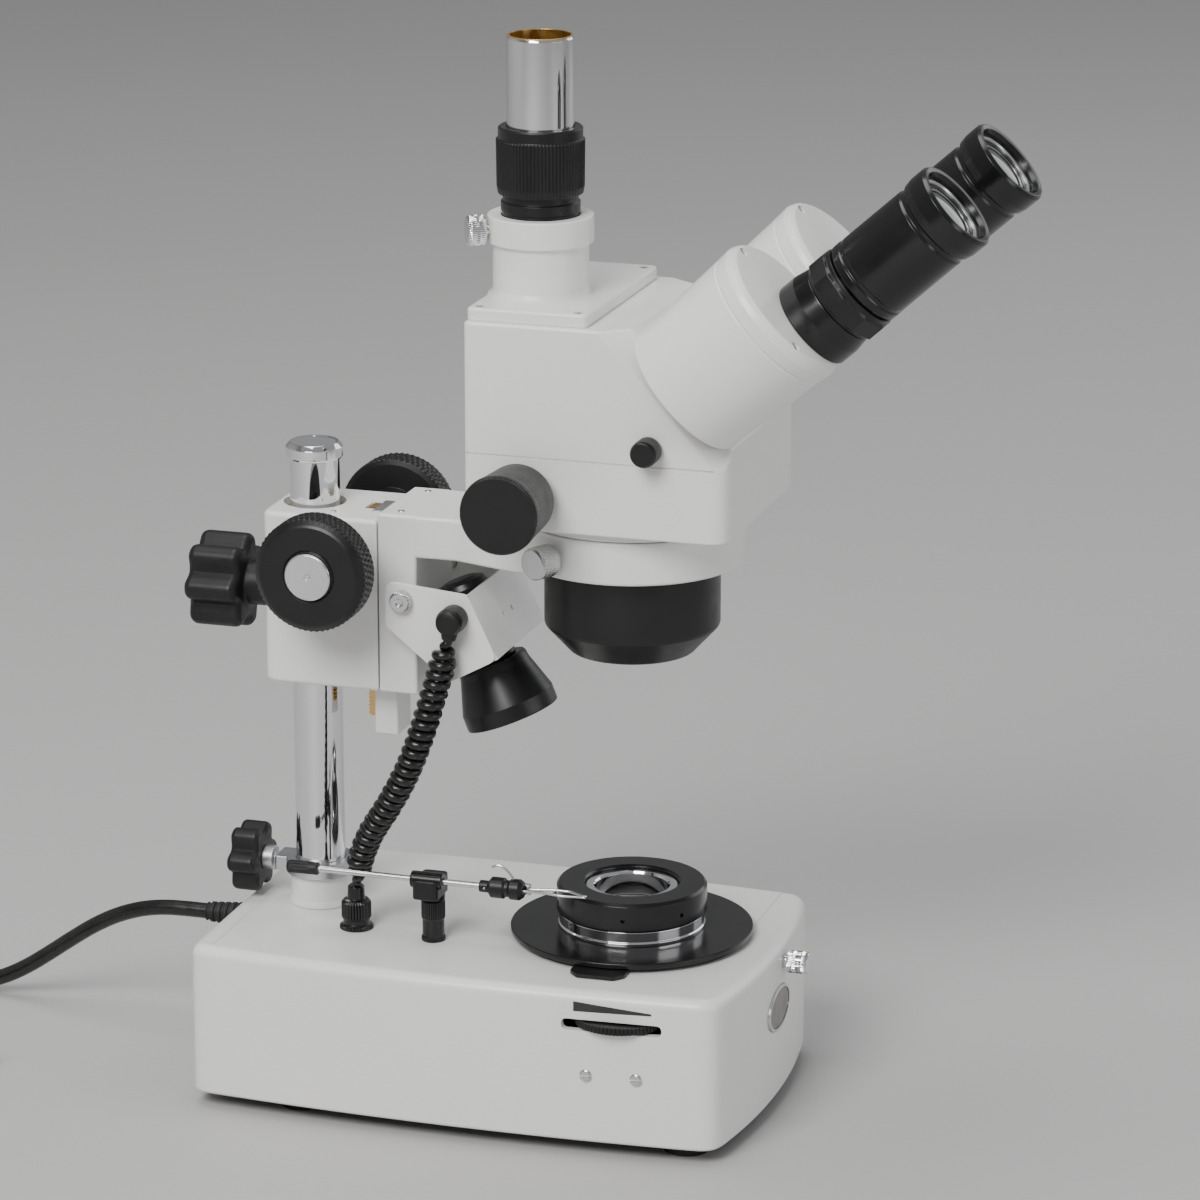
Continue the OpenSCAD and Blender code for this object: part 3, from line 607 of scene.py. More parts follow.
MAINS_ROUTE = [
    (20, 190, 50), (20, 200, 50), (20, 210, 49.5), (20.5, 220, 47.5), (21, 231, 43.5),
    (22, 242, 37.5), (23, 253, 30), (24, 264, 22), (25, 275, 14.5), (26, 286, 8.5),
    (27, 297, 4.8), (27, 309, 3.6), (27, 322, 3.4), (27, 336, 3.4)]
MAINS_R = 3.25
COIL_SWEEP, COIL_STEP = 1980.001, 3.0  # degrees
COIL_CLIMB_FROM, COIL_CLIMB = 945, 75  # degrees, from the lower layer to the upper
CURLY_ROUTE = [
    (-36.3, 64, 194.6), (-36.5, 65.5, 188), (-37, 67.5, 180), (-38, 70, 171), (-38.5, 72.5, 162),
    (-38.5, 75.5, 153), (-38, 79, 144), (-37, 83, 135.5), (-35.5, 87.5, 127.5),
    (-34, 92.5, 119.5), (-32, 97.5, 112), (-30, 101.5, 104.5), (-28.5, 104.5, 96.5),
    (-27.2, 106.6, 87)]
CURLY_R = 3.85
WIRE_R = 1.9
CURLY_PITCH = 4.2
CURLY_LEAD = 9.0  # straight run-out at each end


def mains_coil_path():
    """Two layers of turns, in from the outer turn and out again on top."""
    lo, hi = low("mains_coil"), high("mains_coil")
    centre = (lo + hi) / 2
    step = 2 * MAINS_R
    outer = (hi.x - lo.x) / 2 - MAINS_R
    z0, z1 = lo.z + MAINS_R, lo.z + MAINS_R + step
    # each move to another radius: the angles where it starts and ends, and the change of radius
    moves = [(290, 340, -step), (650, 700, -step), (1270, 1325, step), (1630, 1685, step)]
    out = []
    angle = 0.0
    while angle <= COIL_SWEEP:
        r = outer + sum(d * ease((angle - a) / (b - a)) for a, b, d in moves)
        z = z0 + (z1 - z0) * ease((angle - COIL_CLIMB_FROM) / COIL_CLIMB)
        t = radians(angle)
        out.append(Vector((centre.x + r * cos(t), centre.y + r * sin(t), z)))
        angle += COIL_STEP
    return out


def make_cords():
    route = smooth_path([Vector(p) + Vector((0, AXIS_Y, 0)) for p in MAINS_ROUTE], 3.0)
    coil = mains_coil_path()
    plug_y = low("mains_plug").y + 16 + 56
    end = Vector((coil[-1].x, plug_y - 4, 9))
    tail = smooth_path([coil[-1], coil[-1] + Vector((0, -6, -0.1)), end + Vector((0, 6, 0)), end], 3.0)
    path = resample([*route, *coil, *tail[1:]], 2.5)
    flex = sweep("mains_flex", path, lambda k: MAINS_R, 20)
    give(flex, "cord_skin", "mains_cord", "mains_coil")
    make_curly()


def make_curly():
    """The lamp's curly cord, in four lengths."""
    line = smooth_path([Vector(p) + Vector((0, AXIS_Y, 0)) for p in reversed(CURLY_ROUTE)], 0.5)
    total = length(line)
    turns = round(total / CURLY_PITCH)
    side = Vector((1, 0, 0))
    coil = []
    for k, p in enumerate(line):
        t = (line[min(k + 1, len(line) - 1)] - line[max(k - 1, 0)]).normalized()
        side = (side - t * side.dot(t)).normalized()
        s = total * k / (len(line) - 1)
        a = tau * turns * s / total
        r = CURLY_R * ease(s / CURLY_LEAD) * ease((total - s) / CURLY_LEAD)
        coil.append(p + side * r * cos(a) + t.cross(side) * r * sin(a))
    path = resample(coil, 0.9)
    # bodies, the length's ends as parts of the whole, and where its give starts
    parts = [("root", "bush", 0.0, 0.5, 0.07), ("bush", "block", 0.5, 0.69, 0.5),
             ("block", "carriage", 0.69, 0.93, 0.69), ("carriage", "lamp", 0.93, 1.0, 0.93)]
    count = len(path) - 1
    for k, (a, b, f0, f1, give_from) in enumerate(parts):
        piece = path[round(f0 * count):round(f1 * count) + 1]
        tube = sweep(f"lamp_coil_{k}", piece, lambda i: WIRE_R, 14, caps=k in (0, 3))
        paint(tube, "cord_skin")
        applied(tube)
        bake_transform(tube)
        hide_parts("lamp_cord")


def aimed(point, direction):
    """A frame at a point of the row frame, in millimetres, with its +Z along the direction."""
    return Matrix.Translation(point) @ Vector(direction).to_track_quat("Z", "Y").to_matrix().to_4x4()


def facing(x, y, z, direction):
    return aimed((x, y + AXIS_Y, z), direction)


LEFT, RIGHT, FRONT, BACK = (-1, 0, 0), (1, 0, 0), (0, -1, 0), (0, 1, 0)
UP, DOWN = (0, 0, 1), (0, 0, -1)


def knurl(count, depth, low_r, twist=0.0):
    """A wave for lathe: straight teeth, or a diamond pattern where twist isn't 0."""
    def wave(angle, r, z):
        if r < low_r:
            return 0.0
        if not twist:
            return depth * (abs(sin(count * angle / 2)) - 1)
        return -depth * abs(sin(count * angle / 2 + twist * z) * sin(count * angle / 2 - twist * z))
    return wave


def between(p, q, count):
    """Points from p to q without the last one, so that a wave has rows to work on."""
    return [(p[0] + (q[0] - p[0]) * k / count, p[1] + (q[1] - p[1]) * k / count) for k in range(count)]


def prism_x(points, x0, x1):
    """A cutter of that (y, z) outline, from x0 to x1."""
    return loft("cutter", [[(x, p[0], p[1]) for p in points] for x in (x0, x1)], ON_AXIS)


def lobes(r, count, depth, steps=12):
    """The outline of a lobed knob: round lobes with scallops between them."""
    def radius(a):
        return r - depth * (0.5 - 0.5 * cos(count * a)) ** 1.6
    return polar(radius, count * steps)


def arc_between(a, b, rise, n=24):
    """A shallow arc from a to b that bulges to the right of its direction."""
    a, b = Vector(a), Vector(b)
    along = (b - a).normalized()
    out = Vector((along.y, -along.x))
    return [a.lerp(b, k / n) + out * rise * (1 - (2 * k / n - 1) ** 2) for k in range(n + 1)]


def trimmed(curve, amount):
    """The curve without its first and last lengths."""
    total = length(curve)
    out, run = [], 0.0
    for a, b in zip(curve, curve[1:]):
        step = (b - a).length
        for goal in (amount, total - amount):
            if run <= goal < run + step:
                out.append(a.lerp(b, (goal - run) / step))
        run += step
        if amount < run < total - amount - 0.01:
            out.append(b)
    return out


def joined(curves, radius, steps=8):
    """A closed outline of curves that meet at corners, with the corners rounded."""
    cuts = [trimmed(c, radius) for c in curves]
    out = []
    for k, c in enumerate(curves):
        out += cuts[k]
        a, p, b = cuts[k][-1], c[-1], cuts[(k + 1) % len(cuts)][0]
        for i in range(1, steps):
            t = i / steps
            arc = (1 - t) ** 2 * a + 2 * t * (1 - t) * p + t * t * b
            out.append(arc + (p - arc) * 0.12 * 4 * t * (1 - t))
    return out


# ---------------------------------------------------------------- base

SIDE_BOW, FRONT_BOW = 5.0, 7.0
FEET = ((-50, -38), (50, -38), (-50, 122), (50, 122))


def base_outline():
    lo, hi = low("base_housing"), high("base_housing")
    hw, rear, front = hi.x - SIDE_BOW, hi.y - AXIS_Y, lo.y - AXIS_Y + FRONT_BOW
    curves = [arc_between((-hw, front), (hw, front), FRONT_BOW), arc_between((hw, front), (hw, rear),
            SIDE_BOW),
              arc_between((hw, rear), (-hw, rear), 0), arc_between((-hw, rear), (-hw, front), SIDE_BOW)]
    return joined(curves, 9.0)


def side_x(y):
    """Where the left side of the base is, at that depth."""
    lo, hi = low("base_housing"), high("base_housing")
    rear, front = hi.y - AXIS_Y, lo.y - AXIS_Y + FRONT_BOW
    t = (2 * y - rear - front) / (rear - front)
    return -(hi.x - SIDE_BOW + SIDE_BOW * (1 - t * t))


def make_base():
    outline = base_outline()
    lo, hi = BASE_LOW, BASE_TOP
    stack = []
    for k in range(5):
        a = pi / 2 * k / 4
        stack.append((1.6 * (1 - sin(a)), lo + 1.6 * (1 - cos(a))))
    for k in range(9):
        a = pi / 2 * k / 8
        stack.append((4.6 * (1 - cos(a)), hi - 4.6 * (1 - sin(a))))
    shell = loft("base_shell", [[(p.x, p.y, z) for p in inset(outline, d)] for d, z in stack], ON_AXIS)
    slot_y, slot_z = low("dimmer_wheel").y - AXIS_Y, spot("dimmer_turn").z
    nose = low("base_housing").y - AXIS_Y
    rear = high("base_housing").y - AXIS_Y
    pull_x, pull_z = low("pull_rod").x + 18, 60
    gland = (low("mains_gland") + high("mains_gland")) / 2
    switch = (low("switch_rocker") + high("switch_rocker")) / 2
    oval = polar(lambda a: 1 / sqrt((cos(a) / 15.1) ** 2 + (sin(a) / 9.1) ** 2), 64)
    badge_z = (low("badge").z + high("badge").z) / 2
    cut(shell,
        cutter(inset(outline, 3.0), lo - 1, hi - 3, ON_AXIS),
        cutter(circle(34), hi - 5, hi + 1, ON_AXIS),
        prism_x(rectangle(slot_y - 1, slot_z - 2.3, slot_y + 38 + 1, slot_z + 2.3, 2.2), -80, -60),
        cutter(circle(2.7, 32), -12, 12, facing(pull_x, nose, pull_z, FRONT)),
        cutter(circle(5.1, 32), -12, 12, facing(gland.x, rear, gland.z, BACK)),
        cutter(rectangle(switch.x - 10, -7, switch.x + 10, 7, 1.0), -12, 12,
               at(0, rear, switch.z) @ Matrix.Rotation(radians(90), 4, "X")),
        cutter(oval, -1.4, 4, facing(0, nose + 0.4, badge_z, FRONT)))
    give(shade(shell, 30), "enamel", "base_housing")
    # ramp mark over the dimmer
    mark = []
    for k in range(13):
        y = slot_y + 34 - 31 * k / 12
        mark.append((y, slot_z + 5.6 + 0.6 * (k / 12), slot_z + 9.6 - 2.6 * (k / 12)))
    loops = [[(side_x(y) + d, y, z) for d, z in ((-0.12, z0), (-0.12, z1), (0.5, z1), (0.5, z0))]
             for y, z0, z1 in mark]
    give(shade(loft("dimmer_mark", loops, ON_AXIS)), "print_black", body="root")
    # thumb wheel behind the slot
    centre = spot("dimmer_turn")
    rim = knurl(72, 0.5, 17)
    wheel = lathe("dimmer_thumbwheel", [(2.1, -1.5), (18.9, -1.5), (18.9, 1.5), (2.1, 1.5)],
                  Matrix.Translation(centre), 288, 0.5, wave=rim)
    give(wheel, "black_moulded", "dimmer_wheel")
    for k, (y, z) in enumerate(((-3, 34), (-23, 34))):
        screw(f"side_screw_{k}", facing(side_x(y) + 0.5, y, z, LEFT), 2.5, 1.6, "root", "slot")
    for k, (x, y) in enumerate(FEET):
        screw(f"foot_screw_{k}", facing(x, y, 3, DOWN), 4.0, 2.0, "root")
        foot = lathe(f"rubber_foot_{k}", [(4.5, 0), (9.5, 0), (10.5, 6), (2.1, 6), (2.1, 3.1), (4.5, 3.1)],
                     at(x, y, 0), 64, 0.9)
        give(foot, "black_rubber", "rubber_feet", "base_screws", slot="foot_rubber")
    # badge: a dark oval in a fine rim
    place = facing(0, nose - 0.9, badge_z, FRONT)
    small = polar(lambda a: 1 / sqrt((cos(a) / 13.6) ** 2 + (sin(a) / 7.7) ** 2), 96)
    rim = polar(lambda a: 1 / sqrt((cos(a) / 14.9) ** 2 + (sin(a) / 8.9) ** 2), 96)
    plate = slab("badge_rim", rim, -2.0, -0.2, 0.4, place)
    cut(plate, cutter(small, -0.9, 1, place))
    give(shade(plate), "steel", "badge", slot="dark_badge")
    give(slab("badge_face", inset(small, 0.1), -1.0, -0.45, 0.25, place), "badge_face", "badge")
    # knurled darkfield pull
    knob = lathe("pull_knob", [(0, -2), (2.4, -2), (2.4, 0.4), *between((4.6, 0.4), (4.6, 7.6), 6),
                               (4.6, 7.6), (4.0, 8.9), (0, 8.9)],
                 facing(pull_x, nose - 1.3, pull_z, FRONT), 240, 0.4, ring=False,
                 wave=knurl(40, 0.35, 4.5, 0.9))
    give(knob, "chrome", "pull_rod", slot="bright_steel")
    rod_piece = rod("pull_rod_shaft", 2.5, -22, 0, facing(pull_x, nose - 1.3, pull_z, FRONT))
    give(rod_piece, "chrome", "pull_rod", slot="bright_steel")


def make_stage_parts():
    z1 = high("stage_plate").z
    z0 = z1 - 2.1
    disc = lathe("stage_disc", [(24, z0), (48.4, z0), (48.4, z1), (24, z1)], ON_AXIS, 160, 0.5)
    give(disc, "black_gloss", "stage_plate")
    spigot = lathe("stage_spigot", [(30, BASE_TOP - 3), (33.6, BASE_TOP - 3), (33.6, z0 + 0.4),
                                    (30, z0 + 0.4)], ON_AXIS, 96, 0.2)
    give(spigot, "black_satin", "stage_plate")
    b1 = high("stage_band").z
    band = lathe("stage_chrome_band", [(20, z1), (29.3, z1), (29.4, z1 + 1.4), (28.9, z1 + 1.9), (28.9, b1),
                                       (20, b1)], ON_AXIS, 160, 0.3)
    give(band, "chrome", "stage_band")
    c1 = high("stage_cap").z
    cap = lathe("stage_cap_ring", [
        (16, b1), (29.0, b1), (30, b1 + 0.9), (30, c1 - 1.2), (28.9, c1), (19.4, c1), (18.6, c1 - 0.8),
        (18.6, c1 - 2.2), (16, c1 - 2.2)], ON_AXIS, 160, 0.35)
    holes = [cutter(circle(0.9, 20), 28.4, 32, facing(0, 0, b1 + 5.2, (cos(a), sin(a), 0)))
             for a in (radians(v) for v in (-170, -122, -60, 0, 60, 120))]
    cut(cap, *holes)
    give(shade(cap), "black_gloss", "stage_cap")
    liner = lathe("stage_liner", [(14.7, b1 + 1), (15.9, b1 + 1), (15.9, c1 - 2.0), (18.2, c1 - 2.0),
                                  (18.2, c1 - 1.5), (15.3, c1 - 1.5), (14.7, c1 - 2.4)], ON_AXIS, 128, 0.2)
    give(liner, "chrome", "stage_cap")


# ---------------------------------------------------------------- pillar and its foot


def make_pillar():
    z0, z1 = low("pillar").z, high("pillar").z
    at_pillar = Matrix.Translation((PILLAR.x, PILLAR.y, 0))
    tube = lathe("pillar_tube", [(7, z0), (10, z0), (10, z1), (7, z1)], at_pillar, 128, 0.3)
    give(tube, "chrome", "pillar")
    top = high("pillar_cap").z
    cap = lathe("pillar_top", [(0, z1 - 8), (6.9, z1 - 8), (6.9, z1), (10.9, z1), (11.4, z1 + 0.8),
                               (11.4, top - 2.0), (10.6, top - 1.0), (9.6, top), (8.6, top - 0.5),
                               (0, top - 0.5)], at_pillar, 128, 0.35, ring=False)
    give(cap, "chrome", "pillar_cap")
    b0, b1 = low("foot_boss").z, high("foot_boss").z
    boss = lathe("pillar_boss", [(10.1, b0), (13.5, b0), (12.3, b0 + 3), (12.2, b1), (10.1, b1)],
                 at_pillar, 128, 1.0)
    give(boss, "enamel", "foot_boss")
    c0, c1 = low("foot_collar").z, high("foot_collar").z
    collar = lathe("pillar_collar", [(10.06, c0), (14.2, c0), (14.2, c1), (10.06, c1)], at_pillar, 128, 0.6)
    lug = slab("collar_lug", rectangle(-6, 12, 6, 18, 1.2), c0, c1, 0.6, at_pillar)
    combine(collar, [lug], "UNION")
    give(shade(collar), "aluminium", "foot_collar")
    hub = spot("foot_knob_turn")
    place = aimed(hub, BACK)
    rear = high("foot_clamp_knob").y - hub.y
    star = slab("foot_star", lobes(14.4, 6, 4.0), rear - 12, rear, 2.2, place, 5)
    give(star, "black_moulded", "foot_clamp_knob")
    give(sphere_cap("foot_star_cap", 6.5, 0.01, place @ Matrix.Translation((0, 0, rear - 0.01))),
         "black_satin", "foot_clamp_knob", slot="black_plastic")
    stud = lathe("foot_stud", [(0, rear - 25), (2.4, rear - 25), (2.4, rear - 16.4), (5.0, rear - 16.4),
                               (5.0, rear - 12), (0, rear - 12)], place, 48, 0.4, ring=False)
    give(stud, "aluminium", "foot_clamp_knob", slot="bright_steel")


# ---------------------------------------------------------------- gem clamp


def make_gem_clamp():
    pivot = spot("gem_swivel")
    place = Matrix.Translation((pivot.x, pivot.y, 0))
    z0 = BASE_TOP
    post = lathe("gem_column", [(0, z0 - 8), (2.5, z0 - 8), (2.5, z0), (4.8, z0), (4.8, z0 + 1.6),
                                (4.4, z0 + 2.4),
                                (4.4, z0 + 9), (4.8, z0 + 9.6), *between((4.8, z0 + 9.6), (4.8, z0 + 16.4),
                                        5), (4.8, z0 + 16.4), (4.4, z0 + 17), (0, z0 + 17)],
                 place, 192, 0.25, ring=False, wave=knurl(32, 0.3, 4.7))
    give(post, "black_gloss", "gem_post")
    h0, h1 = low("gem_head").z, high("gem_head").z
    rod_at = (low("gem_rod") + high("gem_rod")) / 2
    rx = low("gem_rod").x + 4.2 - pivot.x
    block = slab("gem_clamp_head", rectangle(-11, -5.2, 4.5, 5.2, 2.2), h0 + 2.5, h1 - 1.5, 0.7, place)
    neck = lathe("gem_clamp_neck", [(2.06, h0), (4.8, h0), (4.8, h0 + 3), (2.06, h0 + 3)], place, 64, 0.3)
    combine(block, [neck], "UNION")
    across = Matrix.Translation((pivot.x + rx, pivot.y, rod_at.z)) @ Matrix.Rotation(radians(-90), 4, "X")
    cut(block, cutter(circle(1.3, 24), -12, 12, across))
    give(shade(block), "black_satin", "gem_head")
    sleeve = lathe("gem_sleeve", [(1.3, -6.5), (3.4, -6.5), (3.4, 6.5), (1.3, 6.5)], across, 64, 0.5)
    give(sleeve, "black_gloss", "gem_head")
    screw("gem_lock_screw", Matrix.Translation((pivot.x + rx, pivot.y, h1 - 1.6)), 2.2, 1.4,
          "gem_swivel_head", "slot")
    # the bar, its grip and its holder, along -Y
    bar = Matrix.Translation((pivot.x + rx, AXIS_Y, rod_at.z)) @ Matrix.Rotation(radians(-90), 4, "X")
    shaft = lathe("gem_shaft", [(0, 46), (1.2, 46), (1.2, 120), (0, 120)], bar, 32, 0.1, ring=False)
    give(shaft, "steel", "gem_rod")
    grip = lathe("gem_grip", [(0, 119), *between((2.6, 119), (2.6, 131), 8), (2.6, 131), (1.8, 132),
                              (0, 132)], bar, 96, 0.35, ring=False, wave=knurl(20, 0.3, 2.5, 1.0))
    give(grip, "black_moulded", "gem_rod")
    holder = lathe("gem_holder", [(0, 33), (3.2, 33), (4.2, 34.5), (4.2, 38), (3.4, 38.8), (3.4, 40.2),
                                  (4.2, 41), (4.2, 46), (3.0, 47), (2.4, 47.5), (2.4, 51), (0, 51)],
                   bar, 64, 0.3, ring=False)
    give(holder, "black_satin", "gem_rod")
    for k, y in enumerate((48.6, 54.0)):
        dot = facing(pivot.x + rx - (2.3 if k == 0 else 1.1), y, rod_at.z, LEFT)
        give(lathe(f"gem_dot_{k}", [(0, 0), (0.55, 0), (0.4, 0.35), (0, 0.4)], dot, 20, 0.08, ring=False),
             "steel", "gem_rod")
    wire = [(-1.2, 34, 0), (-1.3, 30, 0.2), (-1.9, 24, 0.4), (-2.6, 17, 0.2), (-1.6, 12, 0),
            (-0.6, 8.4, -0.2), (-0.7, 7.2, -0.2)]
    fixed = smooth_path([(pivot.x + rx + x, AXIS_Y + y, rod_at.z + z) for x, y, z in wire], 0.8)
    give(sweep("gem_wire_fixed", fixed, lambda k: 0.55, 12), "steel", "gem_rod")
    spring = [(0, 37, 3.9), (0.2, 39.4, 7.0), (0.2, 42, 8.8), (0.1, 44, 9.2), (0, 46, 8.2)]
    bent = smooth_path([(pivot.x + rx + x, AXIS_Y + y, rod_at.z + z) for x, y, z in spring], 0.8)
    give(sweep("gem_spring_wire", bent, lambda k: 0.45, 10), "steel", "gem_rod")
    hinge = spot("gem_jaw_open")
    eye = lathe("gem_jaw_eye", [(0.55, -1), (1.1, -1), (1.1, 1), (0.55, 1)], Matrix.Translation(hinge), 32,
                0.1)
    give(eye, "steel", "gem_jaw")
    loose = [(1.6, 30.8, 0), (1.9, 27, 0.2), (2.6, 21, 0.4), (3.0, 15, 0.2), (1.6, 11, 0), (0.5, 8.4, -0.2),
             (0.5, 7.2, -0.2)]
    jaw = smooth_path([(pivot.x + rx + x, AXIS_Y + y, rod_at.z + z) for x, y, z in loose], 0.8)
    give(sweep("gem_wire_loose", jaw, lambda k: 0.55, 12), "steel", "gem_jaw")
    for name, z0, z1 in (("gem_fork", 1.3, 2.1), ("gem_fork_low", -2.1, -1.3)):
        prongs = rectangle(hinge.x - 1.1, hinge.y - 1.1, hinge.x + 1.1, hinge.y + 2, 0.8)
        give(slab(name, prongs, hinge.z + z0, hinge.z + z1, 0.2), "steel", "gem_rod")
    pin = rod("gem_pin", 0.5, -2.0, 2.0, Matrix.Translation(hinge), 0.05, 24)
    give(pin, "steel", "gem_rod")


# ---------------------------------------------------------------- focus block and arm


def make_focus():
    y0, y1 = low("focus_block").y - AXIS_Y, high("focus_block").y - AXIS_Y
    z0, z1 = low("focus_block").z, high("focus_block").z
    pinion = spot("focus_knob_turn")
    pin_y = pinion.y - AXIS_Y
    hw = BLOCK_HALF
    outline = [Vector((-hw, y0)), Vector((hw, y0))]
    outline += rounded([(hw, y0), (hw, y1), (-hw, y1), (-hw, y0)], 6.5, 8, closed=False)[1:-1]
    block = slab("focus_casting", outline, z0, z1, 2.0, ON_AXIS, 5)
    for s in (-1, 1):
        boss = rod("boss", 9, 0, 5.5, facing(s * (hw - 0.5), pin_y, pinion.z, (s, 0, 0)), 0.6, 64)
        combine(block, [boss], "UNION")
    bore = at(0, PILLAR.y - AXIS_Y, 0)
    cut(block, cutter(circle(12.55, 96), z0 - 5, z1 + 5, bore),
        cutter([(-8.3, y0 - 5), (8.3, y0 - 5), (8.3, 105.3), (5, 105.3), (5, 109.3), (-5, 109.3),
                (-5, 105.3), (-8.3, 105.3)], z0 - 5, z1 + 5, ON_AXIS),
        cutter(circle(4.3, 32), -60, 60, facing(0, pin_y, pinion.z, RIGHT)),
        cutter(circle(5.1, 32), -6, 6, facing(0, pin_y, pinion.z, RIGHT)),
        cutter(circle(4.1, 32), -10, 10, facing(0, y1, spot("clamp_turn").z, BACK)))
    give(shade(block), "enamel", "focus_block")
    screw("block_set_screw", facing(-14, 119, z1 - 0.3, UP), 1.3, 0.7, "block", "hex")
    screw("block_rear_screw", facing(-9, y1 - 0.4, z0 + 12, BACK), 1.8, 0.8, "block", "hex")
    # knurled focus knobs with spun caps
    for k, s in enumerate((-1, 1)):
        place = aimed(Vector((s * 42, pinion.y, pinion.z)), (s, 0, 0))
        rim = knurl(60, 0.7, 22.4, 0.55)
        knob = lathe(f"focus_knob_{k}", [
            (4.1, -12), (11, -12), (11, 0), (20.5, 0), (22.4, 0.6), *between((22.9, 1.2), (22.9, 11.6), 12),
            (22.9, 11.6), (22.3, 12.2), (20.6, 13.6), (19.6, 14.2), (10.6, 13.7), (9.9, 12.9), (4.1, 12.9)],
            place, 360, 0.3, wave=rim)
        give(knob, "black_satin", "focus_knobs")
        cap = lathe(f"focus_cap_{k}", [(0, 11), (9.4, 11), (9.4, 15.0), (8.8, 15.5), (1.4, 15.2),
                                       (0.9, 14.7), (0, 14.7)], place, 96, 0.25, ring=False)
        give(cap, "spun", "focus_knobs")
    # clamp knob
    hub = spot("clamp_turn")
    place = aimed(hub, BACK)
    far = high("clamp_knob").y - hub.y
    knob = slab("clamp_star", lobes(19.5, 7, 4.6), far - 22, far, 3.2, place, 6)
    give(knob, "black_moulded", "clamp_knob")
    neck = lathe("clamp_neck", [(0, 0.3), (8.6, 0.3), (9, 2.0), (9, far - 22.4), (12.5, far - 21.4),
                                (12.5, far - 20), (0, far - 20)], place, 64, 0.8, ring=False)
    give(neck, "black_moulded", "clamp_knob")
    dish = lathe("clamp_dish", [(0, far - 0.4), (8.5, far - 0.4), (8.8, far), (9.4, far), (9.4, far - 2),
                                (0, far - 2)], place, 64, 0.2, ring=False)
    give(dish, "black_satin", "clamp_knob", slot="black_plastic")
    make_arm()


def make_arm():
    z0, z1 = low("focus_block").z, high("focus_block").z
    y0, y1 = 82.0, 98.0
    hw = BLOCK_HALF
    body = slab("arm_slide", rectangle(-hw, y0, hw, y1, 1.5), z0, 239, 1.2, ON_AXIS)
    w = hw - 0.3
    wings = rounded([(w, 88), (w, 66), (33.5, 30), (-33.5, 30), (-w, 66), (-w, 88)], 10, 6, closed=False)
    bridge = slab("bridge", wings[::-1], low("carriage_arm").z + 78, 238.8, 1.4, ON_AXIS)
    tongue = slab("tongue", rectangle(-8, 95.3, 8, 105, 1.0), low("carriage_arm").z, z1 - 0.05, 0.6,
                  ON_AXIS)
    r0, r1 = 224.0, high("carriage_arm").z
    ring = lathe("arm_ring", [(37.9, r0), (44, r0), (44, r1), (37.9, r1)], ON_AXIS, 160, 1.4)
    combine(body, [bridge, tongue, ring], "UNION")
    lock = JOINTS["head_lock_turn"]["axis"]
    pivot = spot("lamp_tilt")
    cut(body, cutter(circle(38.0, 160), 190, 280, ON_AXIS),
        cutter(circle(2.6, 24), 30, 60, facing(0, 0, spot("head_lock_turn").z, lock)),
        cutter(circle(2.6, 24), -40, 40, facing(0, pivot.y - AXIS_Y, pivot.z, RIGHT)))
    give(shade(body), "enamel", "carriage_arm")
    plate = slab("dovetail_face", rectangle(-7.8, 98.2, 7.8, 104.8, 0.4), z1 - 0.1, z1 + 0.3, 0.1, ON_AXIS,
                 2)
    give(plate, "aluminium", "carriage_arm")
    for k, (x, y) in enumerate(((-16, 90), (16, 90))):
        screw(f"arm_screw_{k}", facing(x, y, 238.6, UP), 1.5, 0.8, "carriage", "hex")
    # brass rack with its teeth
    rz0, rz1 = low("rack").z, high("rack").z
    ya, yb = low("rack").y - AXIS_Y, high("rack").y - AXIS_Y
    profile = [(ya, rz0), (yb - 1.0, rz0)]
    z = rz0 + 0.4
    while z + 1.57 < rz1:
        profile += [(yb - 1.0, z), (yb, z + 0.45), (yb, z + 0.85), (yb - 1.0, z + 1.3)]
        z += 1.57
    profile += [(yb - 1.0, rz1), (ya, rz1)]
    teeth = loft("brass_rack", [[(x, p[0], p[1]) for p in profile] for x in (-4, 4)], ON_AXIS)
    give(shade(teeth), "brass", "rack")
    # head lock screw: knurled head and shaft
    place = aimed(Vector((AXIS.x, AXIS.y, spot("head_lock_turn").z)), lock)
    head = lathe("head_lock_head", [(0, 46.5), (5.9, 46.5), *between((6.4, 47.2), (6.4, 55.4), 8),
                                    (6.4, 55.4), (5.6, 56.5), (0, 56.5)], place, 240, 0.4, ring=False,
                 wave=knurl(40, 0.4, 6.2, 0.8))
    give(head, "steel", "head_lock_screw")
    give(rod("head_lock_shaft", 2.45, 38.4, 47, place), "steel", "head_lock_screw")


# ---------------------------------------------------------------- oblique lamp


